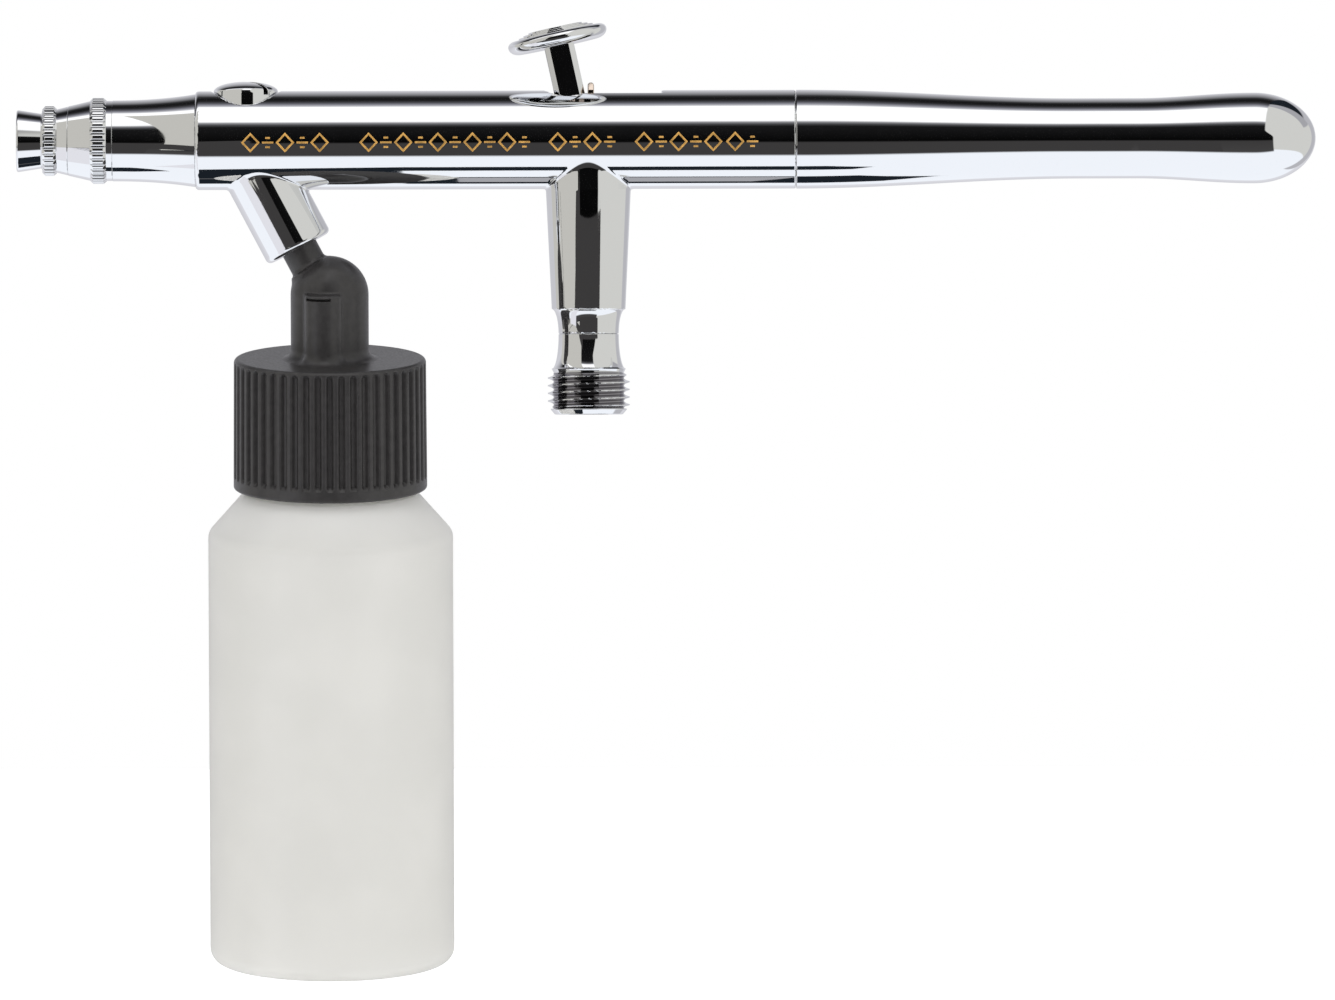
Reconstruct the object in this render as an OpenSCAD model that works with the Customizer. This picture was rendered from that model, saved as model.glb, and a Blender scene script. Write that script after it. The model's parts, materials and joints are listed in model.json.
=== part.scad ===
// Double-action airbrush with a siphon bottle.
// X runs along the airbrush towards the handle, Z runs up the air valve, and the origin is the
// centre of the air inlet thread at its lower end.

/* [Body] */
// Outer radius of the body tube
body_r = 5.85; // [5.7:0.05:6.2]
// Front end of the body tube along X
body_front_x = -46.6; // [-48:0.2:-46]
// Rear end of the body tube along X, where the handle starts
body_rear_x = 24.6; // [24:0.2:26]
// Height of the airbrush axis over the air inlet thread
axis_z = 31.9; // [31.5:0.1:33]
// Radius of the trigger chamber inside the tube
chamber_r = 3.9; // [3.8:0.05:4]
// Width of the trigger slot in the top of the tube
slot_w = 3.7; // [3.6:0.05:4]
// Rear end of the trigger slot along X
slot_rear_x = 8.7; // [8:0.1:10]

/* [Nose] */
// Front end of the needle cap along X
nose_x = -67.8; // [-69:0.2:-67.6]
// Radius of the needle cap's knurled ring
needle_cap_ring_r = 4.14; // [4:0.02:4.4]
// Radius of the nozzle cap's knurled ring
nozzle_cap_ring_r = 5.1; // [5:0.05:5.4]
// Radius of the head at its front
head_front_r = 4.79; // [4.7:0.05:5]
// Radius of the head where it meets the body
head_rear_r = 5.5; // [5.3:0.05:5.7]

/* [Handle] */
// Rear end of the handle along X
handle_end_x = 86.3; // [84:0.1:92]
// Radius of the handle where it meets the body
handle_front_r = 5.86; // [5.7:0.02:6.1]
// Radius at the handle's waist
waist_r = 4.75; // [4.5:0.05:5.2]
// Radius of the swelling before the handle's rounded end
swell_r = 5.37; // [5:0.05:5.8]

/* [Trigger] */
// Radius of the finger button
button_r = 5.95; // [5:0.05:6.5]
// Thickness of the finger button
button_t = 2.28; // [2:0.02:2.6]
// Width of the square stem
stem_w = 3.3; // [3:0.05:3.4]
// Forward lean of the trigger at rest, in degrees
trigger_lean = 12.3; // [10:0.1:13]
// Length from the pivot to the middle of the button
trigger_l = 17.18; // [16:0.02:18]

/* [Air valve] */
// Outer radius of the air inlet's thread, G1/8
inlet_r = 4.864; // [4.8:0.002:5]
// Length of the air inlet's thread
inlet_l = 4.7; // [4:0.1:5]
// Radius of the valve boss where it leaves the tube
boss_top_r = 5.03; // [4.8:0.05:5.3]
// Radius of the valve boss above its neck
boss_low_r = 4.37; // [4.2:0.05:4.6]
// Radius of the neck, where the boss meets the air valve body
neck_r = 3.57; // [3.5:0.02:3.7]

/* [Siphon] */
// X at which the siphon socket's axis meets the airbrush axis
socket_x = -41.1; // [-41.5:0.1:-40]
// Angle of the siphon socket from the vertical
socket_angle = 28; // [25:0.5:30]
// Length of the socket from the airbrush axis
socket_l = 14.5; // [14:0.1:16]
// Outer radius of the socket
socket_r = 4.18; // [4:0.02:4.4]
// Radius of the siphon cap's stem
siphon_stem_r = 2.2; // [2.1:0.05:2.3]
// Length from the airbrush axis to the siphon cap's elbow
elbow_l = 22.1; // [21.5:0.1:24]
// Angle of the elbow between the stem and the bottle
elbow_angle = 29.5; // [25:0.5:32]
// Turn of the bottle about the socket's axis at rest, in degrees
swivel = 19.6; // [-40:0.2:40]
// Radius of the siphon cap's column
column_r = 4.63; // [4.5:0.02:4.9]

/* [Bottle] */
// Outer radius of the bottle
bottle_r = 14.55; // [13:0.05:17]
// Length of the bottle below the cap
bottle_l = 57.2; // [45:0.2:70]
// Thickness of the bottle's wall
bottle_wall = 1.1; // [0.8:0.1:1.4]
// Outer radius of the screw cap at its lower end
cap_r = 11.5; // [11.2:0.1:13]
// Height of the screw cap
cap_h = 15.3; // [14:0.1:17]

/* [Hidden] */
$fn = 64;

running = 0.05;                       // radial clearance of a screwed or sliding fit
needle_r = 0.7;
needle_hole_r = 0.76;
needle_tip_x = nose_x + 1.4;
needle_end_x = 64.6;
needle_taper = 9.5;

needle_cap_end_x = nose_x + 6.1;      // joint line between needle cap and nozzle cap
nozzle_cap_end_x = nose_x + 11.4;     // joint line between nozzle cap and head
cap_spigot_r = 2.9;                   // nozzle cap's spigot, which carries the needle cap
head_spigot_r = 3.8;                  // head's spigot, which carries the nozzle cap
head_thread_r = 2.5;                  // head's rear thread, in the body under the plug's recess
head_thread_l = 3;
air_groove_r = [3.6, 5.2];            // ring groove that joins the air duct to the head's air holes
head_seal_t = 0.4;
nozzle_thread_r = 1.3;
paint_r = 1.3;                        // radius of the paint passages
nozzle_tip_x = needle_tip_x + 2;
nozzle_orifice_r = 0.17;

plug_x = -40.6;
plug_recess_r = 3.85;
plug_head_r = 3.55;
plug_recess_z = 2.9;                  // height of the recess floor over the airbrush axis
plug_gasket_t = 0.5;
plug_dome_z = body_r + 1;
plug_rim_z = body_r - 0.05;
plug_thread_r = 2.2;

packing_x = -36;                      // front of the needle packing
packing_r = 2;
packing_l = 3;
packing_screw_r = 2.4;
packing_screw_l = 4.5;
tunnel_r = 2.5;                       // needle tunnel between packing and trigger chamber

air_duct_r = 0.5;                     // air duct from valve to nose, in the tube's wall
air_duct_y = 3.2;
air_duct_z = axis_z - 3.6;

chamber_front_x = -7;
case_thread_r = chamber_r - 0.04;
waist_x = [58, 65];                   // where the waist starts and ends
swell_x = handle_end_x - 7.3;
handle_thread_r = 4.9;
handle_thread_l = 5;
handle_bore_r = 4;

pivot_z = axis_z - 4.6;               // trigger pivot, on the valve axis
pivot_pin_r = 0.45;
lug_r = 1.3;
lug_w = 1.7;
stem_chamfer = 0.6;
well_x = -2.45;                       // round well in the tube round the trigger's stem
well_r = 2.6;
needle_slot_w = 1.7;

lever_pivot = [3.7, axis_z - 2.65];
lever_knee = [3.1, axis_z + 2.3];
lever_nose = [1.3, axis_z + 2.3];
lever_tip = [0.35, axis_z + 6.65];
lever_t = 1;

tube_front_x = 4.55;
tube_r = 1.9;
tube_end_x = 37.5;
flange_r = 2.6;
collar_x = 13;
collar_r = 2.7;
case_x = 12.5;
case_thread_l = 6;
case_r = 3.4;
case_end_x = 30;
case_bore_r = 2.8;
case_wall = 1;
nut_x = 33;
nut_l = 6.5;
nut_r = 3.2;

plunger_r = 1.95;
plunger_bore_r = 2;
plunger_top_z = pivot_z + 1.4;
plunger_low_z = 20;
valve_rod_r = 1;
boss_bottom_z = 8.85;
boss_neck_h = 2.95;
air_chamber_r = 3.05;
air_chamber_top_z = 19;
valve_body_top_z = 14;
valve_seat_z = 12.6;
valve_seat_r = 1.6;
valve_bore_r = 2.4;
poppet_r = 2.1;
poppet_z = [9.4, 11.8];
inlet_ring_h = 0.7;
guide_z = [0.2, 3.2];

stem_step_l = socket_l + 2.7;         // small shoulder on the stem, before the dome
column_top_z = -1.2;                  // centre of the column's dome, from the elbow point along the bottle
cap_z = 6.75;                         // top of the cap, from the elbow point
cap_wall = 1.25;
cap_top_r = cap_r - 0.1;
cap_bore_r = 9.4;
liner_t = 0.9;
liner_z = cap_z + cap_wall;
neck_top_z = liner_z + liner_t + 0.02;
bottle_neck_r = cap_bore_r - 0.08;
cap_end_z = cap_z + cap_h;
bottle_end_z = cap_end_z + bottle_l;
shoulder_z = [cap_end_z + 0.4, cap_end_z + 4.7];
shoulder_round = 2;
base_round = 1.8;
nipple_r = 2.7;                       // inside the cap, where the dip tube is pushed in
nipple_end_z = 12.6;
dip_r = 1.5;
dip_bore_r = 0.95;
dip_top_z = cap_z + 1;
dip_end_z = bottle_end_z - 3.2;
vent_y = -4;
vent_r = 2.15;
vent_hole_y = -4.6;
vent_hole_r = 0.5;
vent_top_z = -0.9;
fillet_r = 0.9;                       // blend where the column meets the cap's top

// Half a cosine wave from 0 to 1
function ease(u) = (1 - cos(180 * u)) / 2;

// Points of an elliptical arc about [r, z], from angle a0 to a1, in n steps
function arc(c, rr, rz, a0, a1, n = 6) =
    [for (i = [0:n]) c + [rr * cos(a0 + (a1 - a0) * i / n), rz * sin(a0 + (a1 - a0) * i / n)]];

// Spreads steps so that they crowd together towards the end
function ease_out(u) = u < 0.6 ? u / 0.6 * 0.82 : 0.82 + 0.18 * sin(90 * (u - 0.6) / 0.4);

// Radius of the handle's outside at x
function handle_r(x) =
    x < waist_x[0] ?
        handle_front_r + (waist_r - handle_front_r) * ease((x - body_rear_x) / (waist_x[0] - body_rear_x)) :
    x < waist_x[1] ? waist_r :
    x < swell_x ? waist_r + (swell_r - waist_r) * ease((x - waist_x[1]) / (swell_x - waist_x[1])) :
    swell_r * sqrt(max(0, 1 - pow((x - swell_x) / (handle_end_x - swell_x), 2)));

// Stands a lathe profile of [radius, x] points along the airbrush
module along_x() {
    translate([0, 0, axis_z])
        rotate([0, 90, 0])
            children();
}

module lathe(points) {
    rotate_extrude()
        polygon(points);
}

module bore(r, from, to) {
    translate([0, 0, from])
        cylinder(r = r, h = to - from);
}

module ring(outer_r, inner_r, from, to) {
    difference() {
        bore(outer_r, from, to);
        bore(inner_r, from - 1, to + 1);
    }
}

// The socket's own frame: Z runs down along the socket's axis from the airbrush axis
module socket_frame() {
    translate([socket_x, 0, axis_z])
        rotate([0, 180 - socket_angle, 0])
            children();
}

// The bottle's own frame: Z runs down along the bottle from the elbow point
module bottle_frame() {
    socket_frame()
        rotate([0, 0, swivel])
            translate([0, 0, elbow_l])
                rotate([0, elbow_angle, 0])
                    children();
}

// A round-wire compression spring along Z, with closed round ends
module coil_spring(coil_r, wire_r, from, to, turns) {
    sides = 6;
    steps = 14 * turns;
    pitch_angle = atan((to - from - 2 * wire_r) / (turns * 2 * PI * coil_r));
    points = [for (i = [0:steps], k = [0:sides - 1])
        let (turn = 360 * turns * i / steps)
        let (side = 360 * k / sides)
        let (r = coil_r + wire_r * cos(side))
        let (up = wire_r * sin(side))
        [
            r * cos(turn) + up * sin(pitch_angle) * sin(turn),
            r * sin(turn) - up * sin(pitch_angle) * cos(turn),
            from + wire_r + (to - from - 2 * wire_r) * i / steps + up * cos(pitch_angle)
        ]];
    walls = [for (i = [0:steps - 1], k = [0:sides - 1])
        let (a = i * sides + k)
        let (b = i * sides + (k + 1) % sides)
        [a, a + sides, b + sides, b]];
    ends = [
        [for (k = [0:sides - 1]) k],
        [for (k = [sides - 1:-1:0]) steps * sides + k]
    ];
    polyhedron(points, concat(walls, ends));
}

module body() {
    color("silver")
    difference() {
        union() {
            along_x()
                lathe(concat(
                    [[0, body_front_x]],
                    arc([body_r - 0.4, body_front_x + 0.4], 0.4, 0.4, -90, 0, 4),
                    [[body_r, body_rear_x - 0.1], [body_r - 0.1, body_rear_x], [0, body_rear_x]]
                ));
            valve_boss();
            socket_frame()
                lathe(concat(
                    [[0, 0], [socket_r, 0]],
                    arc([socket_r - 0.5, socket_l - 0.5], 0.5, 0.5, 0, 90, 4),
                    [[0, socket_l]]
                ));
        }
        along_x() {
            bore(head_thread_r + running, body_front_x - 1, body_front_x + head_thread_l + head_seal_t);
            ring(air_groove_r[1], air_groove_r[0], body_front_x - 1, body_front_x + 0.8);
            bore(1.6, body_front_x, packing_x + 1);
            bore(packing_r + 0.02, packing_x, chamber_front_x);
            bore(packing_screw_r + running, packing_x + packing_l, chamber_front_x);
            bore(tunnel_r, packing_x + packing_l, chamber_front_x + 1);
            bore(chamber_r, chamber_front_x, body_rear_x);
            bore(handle_thread_r + running, body_rear_x - handle_thread_l - 0.5, body_rear_x + 1);
        }
        socket_frame() {
            bore(paint_r, 0, socket_l + 1);
            bore(siphon_stem_r + running, socket_l - 7, socket_l + 1);
        }
        translate([plug_x, 0, axis_z]) {
            bore(plug_recess_r, plug_recess_z, body_r + 2);
            bore(plug_thread_r + running, 0, body_r);
        }
        trigger_openings();
        air_duct();
    }
}

module valve_boss() {
    lathe(concat(
        [[0, boss_bottom_z]],
        [for (i = [0:6]) let (u = i / 6)
            [neck_r + (boss_low_r - neck_r) * (1 - sqrt(1 - u * u)), boss_bottom_z + boss_neck_h * u]],
        [[boss_top_r, axis_z - 6], [boss_top_r, axis_z - 3], [0, axis_z - 3]]
    ));
}

module trigger_openings() {
    bore(plunger_bore_r, air_chamber_top_z - 1, axis_z);
    bore(tunnel_r, pivot_z - 0.8, axis_z);
    bore(air_chamber_r, boss_bottom_z - 1, air_chamber_top_z);
    translate([well_x, 0, 0])
        bore(well_r, axis_z, axis_z + body_r + 1);
    translate([well_x, -slot_w / 2, axis_z])
        cube([slot_rear_x - well_x, slot_w, body_r + 1]);
}

module air_duct() {
    translate([0, air_duct_y, 0])
        bore(air_duct_r, air_chamber_top_z - 2, air_duct_z);
    translate([body_front_x, air_duct_y, air_duct_z])
        rotate([0, 90, 0])
            cylinder(r = air_duct_r, h = air_duct_r - body_front_x);
}

module head() {
    shoulder_x = nozzle_cap_end_x;
    length = body_front_x - shoulder_x;
    color("silver")
    along_x()
    difference() {
        lathe(concat(
            [[0, shoulder_x - 3.9], [head_spigot_r - 0.2, shoulder_x - 3.9]],
            [[head_spigot_r, shoulder_x - 3.7], [head_spigot_r, shoulder_x]],
            [for (i = [0:8]) let (u = i / 8)
                [head_front_r + (head_rear_r - head_front_r) * pow(u, 2.2), shoulder_x + length * u]],
            [[head_thread_r, body_front_x], [head_thread_r, body_front_x + head_thread_l]],
            [[0, body_front_x + head_thread_l]]
        ));
        bore(1.2, shoulder_x - 5, body_front_x + 5);
        bore(nozzle_thread_r + 0.02, shoulder_x - 1, shoulder_x + 3);
        bore(3.1, shoulder_x - 5, shoulder_x - 0.6);
        for (turn = [60:120:300])
            rotate([0, 0, turn])
                translate([3, 0, shoulder_x - 1])
                    rotate([0, atan(1.5 / (length + 1)), 0])
                        cylinder(r = 0.45, h = length + 2);
    }
}

module head_seal() {
    from = body_front_x + head_thread_l;
    color("white")
    along_x()
        ring(head_thread_r - 0.2, 1.3, from, from + head_seal_t);
}

module fluid_nozzle() {
    base_x = nozzle_cap_end_x - 0.6;
    color("goldenrod")
    along_x()
        lathe([
            [nozzle_orifice_r, nozzle_tip_x], [0.4, nozzle_tip_x], [1.3, nozzle_tip_x + 4.2],
            [1.3, base_x - 1.4], [2.2, base_x - 1.2], [2.2, base_x], [nozzle_thread_r, base_x],
            [nozzle_thread_r, base_x + 3.4], [0.85, base_x + 3.4], [0.85, nozzle_tip_x + 5]
        ]);
}

module nozzle_cap() {
    front = needle_cap_end_x;
    rear = nozzle_cap_end_x;
    color("silver")
    along_x()
        lathe([
            [0.75, front - 2.4], [cap_spigot_r - 0.15, front - 2.4], [cap_spigot_r, front - 2.25],
            [cap_spigot_r, front], [4.1, front], [4.7, front + 2.6],
            [nozzle_cap_ring_r - 0.25, front + 2.7], [nozzle_cap_ring_r, front + 2.95],
            [nozzle_cap_ring_r, front + 4.25], [nozzle_cap_ring_r - 0.25, front + 4.5],
            [4.75, front + 4.55], [4.75, rear - 0.1], [4.65, rear],
            [head_spigot_r + running, rear], [head_spigot_r + running, rear - 4.1],
            [2.2, front + 1], [0.95, front - 1.6], [0.75, front - 1.8]
        ]);
}

module needle_cap() {
    rear = needle_cap_end_x;
    color("silver")
    along_x()
        lathe(concat(
            [[2.9, nose_x]],
            arc([3.4, nose_x + 0.3], 0.3, 0.3, -90, 0, 4),
            [
                [3.24, nose_x + 2.9], [3.5, nose_x + 3.05],
                [needle_cap_ring_r - 0.25, nose_x + 3.1], [needle_cap_ring_r, nose_x + 3.35],
                [needle_cap_ring_r, nose_x + 4.45], [needle_cap_ring_r - 0.25, nose_x + 4.7],
                [3.75, nose_x + 4.75], [4.08, rear - 0.1], [4, rear],
                [cap_spigot_r + running, rear], [cap_spigot_r + running, rear - 2.7],
                [1.5, rear - 2.9], [1.5, nose_x + 2.2]
            ]
        ));
}

module plug_screw() {
    head_z = plug_recess_z + plug_gasket_t;
    dome_h = plug_dome_z - plug_rim_z;
    color("silver")
    translate([plug_x, 0, axis_z])
    difference() {
        lathe(concat(
            [[0, 1.7], [plug_thread_r, 1.7], [plug_thread_r, head_z], [plug_head_r, head_z]],
            [for (i = [0:8]) let (u = i / 8) [plug_head_r * cos(90 * u), plug_rim_z + dome_h * sin(90 * u)]]
        ));
        rotate([0, 0, 50])
            translate([-5, -0.3, plug_rim_z - 0.4])
                cube([10, 0.6, 3]);
    }
}

module plug_gasket() {
    color("black")
    translate([plug_x, 0, axis_z])
        ring(plug_head_r - 0.1, plug_thread_r + running, plug_recess_z, plug_recess_z + plug_gasket_t);
}

module needle_packing() {
    color("white")
    along_x()
        ring(packing_r, needle_hole_r, packing_x, packing_x + packing_l);
}

module packing_screw() {
    from = packing_x + packing_l;
    to = from + packing_screw_l;
    color("goldenrod")
    along_x()
    difference() {
        ring(packing_screw_r, 1, from, to);
        translate([-3, -0.4, to - 1])
            cube([6, 0.8, 2]);
    }
}

module needle() {
    color("gainsboro")
    along_x()
        lathe([
            [0, needle_tip_x], [needle_r, needle_tip_x + needle_taper],
            [needle_r, needle_end_x - 0.5], [needle_r - 0.4, needle_end_x], [0, needle_end_x]
        ]);
}

module needle_tube() {
    collet_x = tube_end_x - 5;
    color("gainsboro")
    along_x()
    difference() {
        union() {
            bore(flange_r, tube_front_x, tube_front_x + 1.1);
            bore(tube_r, tube_front_x, tube_end_x);
            bore(collar_r, collar_x, collar_x + 1);
        }
        bore(needle_hole_r, tube_front_x - 1, tube_end_x + 1);
        for (turn = [0, 90])
            rotate([0, 0, turn])
                translate([-3, -0.2, collet_x])
                    cube([6, 0.4, 6]);
    }
}

module chuck_nut() {
    color("silver")
    along_x()
        lathe([
            [tube_r + running, nut_x], [nut_r - 0.3, nut_x], [nut_r, nut_x + 0.3],
            [nut_r, nut_x + nut_l - 1.6], [nut_r - 0.9, nut_x + nut_l], [needle_hole_r + 0.04, nut_x + nut_l],
            [needle_hole_r + 0.04, nut_x + 5.2], [tube_r + running, nut_x + 4.8]
        ]);
}

module needle_spring() {
    color("dimgray")
    along_x()
        coil_spring(2.34, 0.22, collar_x + 1.05, case_end_x - case_wall - 0.05, 11);
}

module spring_case() {
    thread_end = case_x + case_thread_l;
    color("gainsboro")
    along_x()
    difference() {
        lathe([
            [case_bore_r, case_x], [case_thread_r, case_x], [case_thread_r, thread_end],
            [case_r, thread_end + 0.4], [case_r, case_end_x - 0.3], [case_r - 0.3, case_end_x],
            [tube_r + 0.08, case_end_x], [tube_r + 0.08, case_end_x - case_wall],
            [case_bore_r, case_end_x - case_wall]
        ]);
        translate([-5, -0.5, case_x - 1])
            cube([10, 1, 1.8]);
    }
}

// A straight bar of the lever in side view, between two points, with round ends
module lever_bar(a, b, width) {
    angle = atan2(b[1] - a[1], b[0] - a[0]);
    translate(a) {
        rotate(angle)
            translate([0, -width / 2])
                square([norm(b - a), width]);
        circle(d = width);
    }
    translate(b)
        circle(d = width);
}

module auxiliary_lever() {
    color("silver")
    difference() {
        translate([0, stem_w / 2, 0])
            rotate([90, 0, 0])
                linear_extrude(stem_w) {
                    translate(lever_pivot)
                        circle(r = 0.7);
                    lever_bar(lever_pivot, lever_knee, lever_t);
                    lever_bar(lever_knee, lever_nose, 1.6);
                    lever_bar(lever_knee, lever_tip, 0.7);
                }
        translate([0, -needle_slot_w / 2, axis_z - 1.2])
            cube([6, needle_slot_w, 2.6]);
    }
}

// The trigger's own frame: Z runs up the stem from the pivot
module trigger_frame() {
    translate([0, 0, pivot_z])
        rotate([0, -trigger_lean, 0])
            children();
}

module trigger() {
    half = stem_w / 2;
    flat = half - stem_chamfer;
    stem_low = 2.2;
    button_low = trigger_l - button_t / 2;
    terrace = (button_t - 1.2) / 4;
    color("silver")
    trigger_frame()
    difference() {
        union() {
            rotate([90, 0, 0])
                cylinder(r = lug_r, h = lug_w, center = true);
            translate([-lug_r, -lug_w / 2, 0])
                cube([2 * lug_r, lug_w, stem_low + 1]);
            translate([0, 0, stem_low])
                linear_extrude(trigger_l - stem_low - 0.5)
                    polygon([
                        [flat, half], [half, flat], [half, -flat], [flat, -half],
                        [-flat, -half], [-half, -flat], [-half, flat], [-flat, half]
                    ]);
            translate([0, 0, button_low])
                lathe([
                    [0, 0], [button_r - 0.7, 0], [button_r - 0.1, 0.35], [button_r, 0.75],
                    [button_r - 0.1, 1.05], [button_r - 0.6, 1.2],
                    [button_r - 0.6, 1.2 + terrace], [button_r - 1.1, 1.2 + terrace],
                    [button_r - 1.1, 1.2 + 2 * terrace], [button_r - 1.6, 1.2 + 2 * terrace],
                    [button_r - 1.6, 1.2 + 3 * terrace], [button_r - 2.15, 1.2 + 3 * terrace],
                    [button_r - 2.15, button_t], [0, button_t]
                ]);
        }
        rotate([90, 0, 0])
            cylinder(r = pivot_pin_r + 0.03, h = 6, center = true);
        translate([-3, -needle_slot_w / 2, 3.3])
            cube([6, needle_slot_w, 4.7]);
    }
}

module trigger_pin() {
    color("gainsboro")
    translate([0, 0, pivot_z])
        rotate([90, 0, 0])
            cylinder(r = pivot_pin_r, h = 3.5, center = true);
}

module valve_plunger() {
    groove_z = 22;
    color("goldenrod")
    difference() {
        lathe([
            [0, poppet_z[0]], [poppet_r - 0.2, poppet_z[0]], [poppet_r, poppet_z[0] + 0.2],
            [poppet_r, poppet_z[1]], [valve_rod_r, poppet_z[1]], [valve_rod_r, plunger_low_z - 0.6],
            [plunger_r, plunger_low_z], [plunger_r, groove_z - 0.3], [plunger_r - 0.5, groove_z - 0.3],
            [plunger_r - 0.5, groove_z + 0.3], [plunger_r, groove_z + 0.3],
            [plunger_r, plunger_top_z - 0.2], [plunger_r - 0.2, plunger_top_z], [0, plunger_top_z]
        ]);
        translate([-3, -0.9, pivot_z - 1.6])
            cube([6, 1.8, 4]);
        translate([0, 0, pivot_z])
            rotate([90, 0, 0])
                cylinder(r = pivot_pin_r, h = 6, center = true);
    }
}

module plunger_o_ring() {
    color("black")
    translate([0, 0, 22])
        rotate_extrude()
            translate([plunger_r - 0.22, 0])
                circle(r = 0.24);
}

module valve_seal() {
    color("black")
        ring(poppet_r, valve_rod_r, poppet_z[1], valve_seat_z - 0.02);
}

module valve_spring() {
    color("dimgray")
        coil_spring(1.7, 0.22, guide_z[1] + 0.05, poppet_z[0] - 0.05, 7);
}

module valve_guide_screw() {
    color("goldenrod")
    difference() {
        ring(valve_bore_r - 0.02, 0.9, guide_z[0], guide_z[1]);
        translate([-3, -0.35, guide_z[0] - 1])
            cube([6, 0.7, 1.8]);
    }
}

module air_valve_body() {
    flare_h = boss_bottom_z - inlet_l;
    flare_r = inlet_r - 0.45;
    color("silver")
    lathe(concat(
        [[valve_bore_r, -inlet_ring_h], [inlet_r - 0.65, -inlet_ring_h], [inlet_r - 0.55, -0.05]],
        [[inlet_r, 0], [inlet_r, inlet_l]],
        [for (i = [0:6]) let (u = 1 - i / 6)
            [neck_r + (flare_r - neck_r) * (1 - sqrt(1 - u * u)), boss_bottom_z - flare_h * u]],
        [
            [air_chamber_r - running, boss_bottom_z], [air_chamber_r - running, valve_body_top_z],
            [valve_seat_r, valve_body_top_z], [valve_seat_r, valve_seat_z], [valve_bore_r, valve_seat_z]
        ]
    ));
}

module handle() {
    profile = [for (i = [0:34]) body_rear_x + 0.05 + (handle_end_x - body_rear_x - 0.05) * ease_out(i / 34)];
    thread_x = body_rear_x - handle_thread_l;
    color("silver")
    along_x()
    difference() {
        lathe(concat(
            [[0, thread_x], [handle_thread_r - 0.3, thread_x], [handle_thread_r, thread_x + 0.3]],
            [[handle_thread_r, profile[0]], [handle_front_r - 0.1, profile[0]]],
            [for (x = profile) if (x > body_rear_x + 0.1) [handle_r(x), x]]
        ));
        bore(handle_bore_r, thread_x - 1, 44);
        bore(3, 43, 70);
        translate([0, 0, 70])
            cylinder(r1 = 3, r2 = 0.2, h = 2);
    }
}

module siphon_cap() {
    edge = 0.8;
    color("dimgray")
    difference() {
        union() {
            socket_frame()
                lathe([
                    [0, socket_l - 6], [siphon_stem_r - 0.1, socket_l - 6], [siphon_stem_r, socket_l - 5.5],
                    [siphon_stem_r, stem_step_l], [siphon_stem_r + 0.35, stem_step_l + 0.15],
                    [siphon_stem_r + 0.35, elbow_l], [0, elbow_l]
                ]);
            bottle_frame() {
                translate([0, 0, column_top_z])
                    sphere(r = column_r);
                bore(column_r, column_top_z, cap_z + 0.5);
                translate([0, vent_y, 0])
                    bore(vent_r, vent_top_z, cap_z + 0.5);
                lathe(concat(
                    [[0, cap_z - fillet_r]],
                    arc([column_r + fillet_r, cap_z - fillet_r], fillet_r, fillet_r, 180, 90, 5),
                    [[column_r + fillet_r, cap_z + 0.5], [0, cap_z + 0.5]]
                ));
                lathe([
                    [0, cap_z], [cap_top_r - edge, cap_z], [cap_top_r, cap_z + edge],
                    [cap_r, cap_end_z - 0.3], [cap_r - 0.3, cap_end_z],
                    [cap_bore_r, cap_end_z], [cap_bore_r, liner_z], [0, liner_z]
                ]);
                bore(nipple_r, cap_z, nipple_end_z);
            }
        }
        socket_frame()
            bore(1.1, socket_l - 8, elbow_l);
        bottle_frame() {
            bore(1.1, -0.2, dip_top_z);
            bore(dip_r + 0.02, dip_top_z, nipple_end_z + 1);
            translate([0, vent_hole_y, 0])
                bore(vent_hole_r, vent_top_z - 1, liner_z + 1);
        }
    }
}

module cap_liner() {
    color("white")
    bottle_frame()
    difference() {
        ring(cap_bore_r - 0.1, nipple_r + 0.1, liner_z, liner_z + liner_t);
        translate([0, vent_hole_y, 0])
            bore(vent_hole_r, liner_z - 1, liner_z + 2);
    }
}

module dip_tube() {
    color("whitesmoke")
    bottle_frame()
        ring(dip_r, dip_bore_r, dip_top_z + 0.1, dip_end_z);
}

module bottle() {
    w = bottle_wall;
    low = bottle_end_z - base_round;
    curve = shoulder_z[1] + shoulder_round;
    color("whitesmoke")
    bottle_frame()
        lathe(concat(
            [[bottle_neck_r, neck_top_z], [bottle_neck_r, shoulder_z[0]]],
            [[bottle_neck_r + 0.4, shoulder_z[0]]],
            arc([bottle_r - shoulder_round, curve], shoulder_round, shoulder_round, -55, 0, 4),
            arc([bottle_r - base_round, low], base_round, base_round, 0, 90, 4),
            [[0, bottle_end_z], [0, bottle_end_z - w]],
            [[bottle_r - w - 1, bottle_end_z - w], [bottle_r - w, bottle_end_z - w - 1]],
            arc([bottle_r - shoulder_round - w, curve + w / 2], shoulder_round, shoulder_round, 0, -55, 4),
            [[bottle_neck_r - 1.5, shoulder_z[0] + w], [bottle_neck_r - 1.5, neck_top_z]]
        ));
}

body();
head();
head_seal();
fluid_nozzle();
nozzle_cap();
needle_cap();
plug_screw();
plug_gasket();
needle_packing();
packing_screw();
needle();
needle_tube();
chuck_nut();
needle_spring();
spring_case();
auxiliary_lever();
trigger();
trigger_pin();
valve_plunger();
plunger_o_ring();
valve_seal();
valve_spring();
valve_guide_screw();
air_valve_body();
handle();
siphon_cap();
cap_liner();
dip_tube();
bottle();
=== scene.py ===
"""The looks of a double-action airbrush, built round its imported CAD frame.

Lengths in this file are millimetres in the row frame; a finished piece is scaled to metres once.
Lathe outlines are lists of (radius, place along the axis) or (radius, place, fillet radius).
"""
import json
import math

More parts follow.
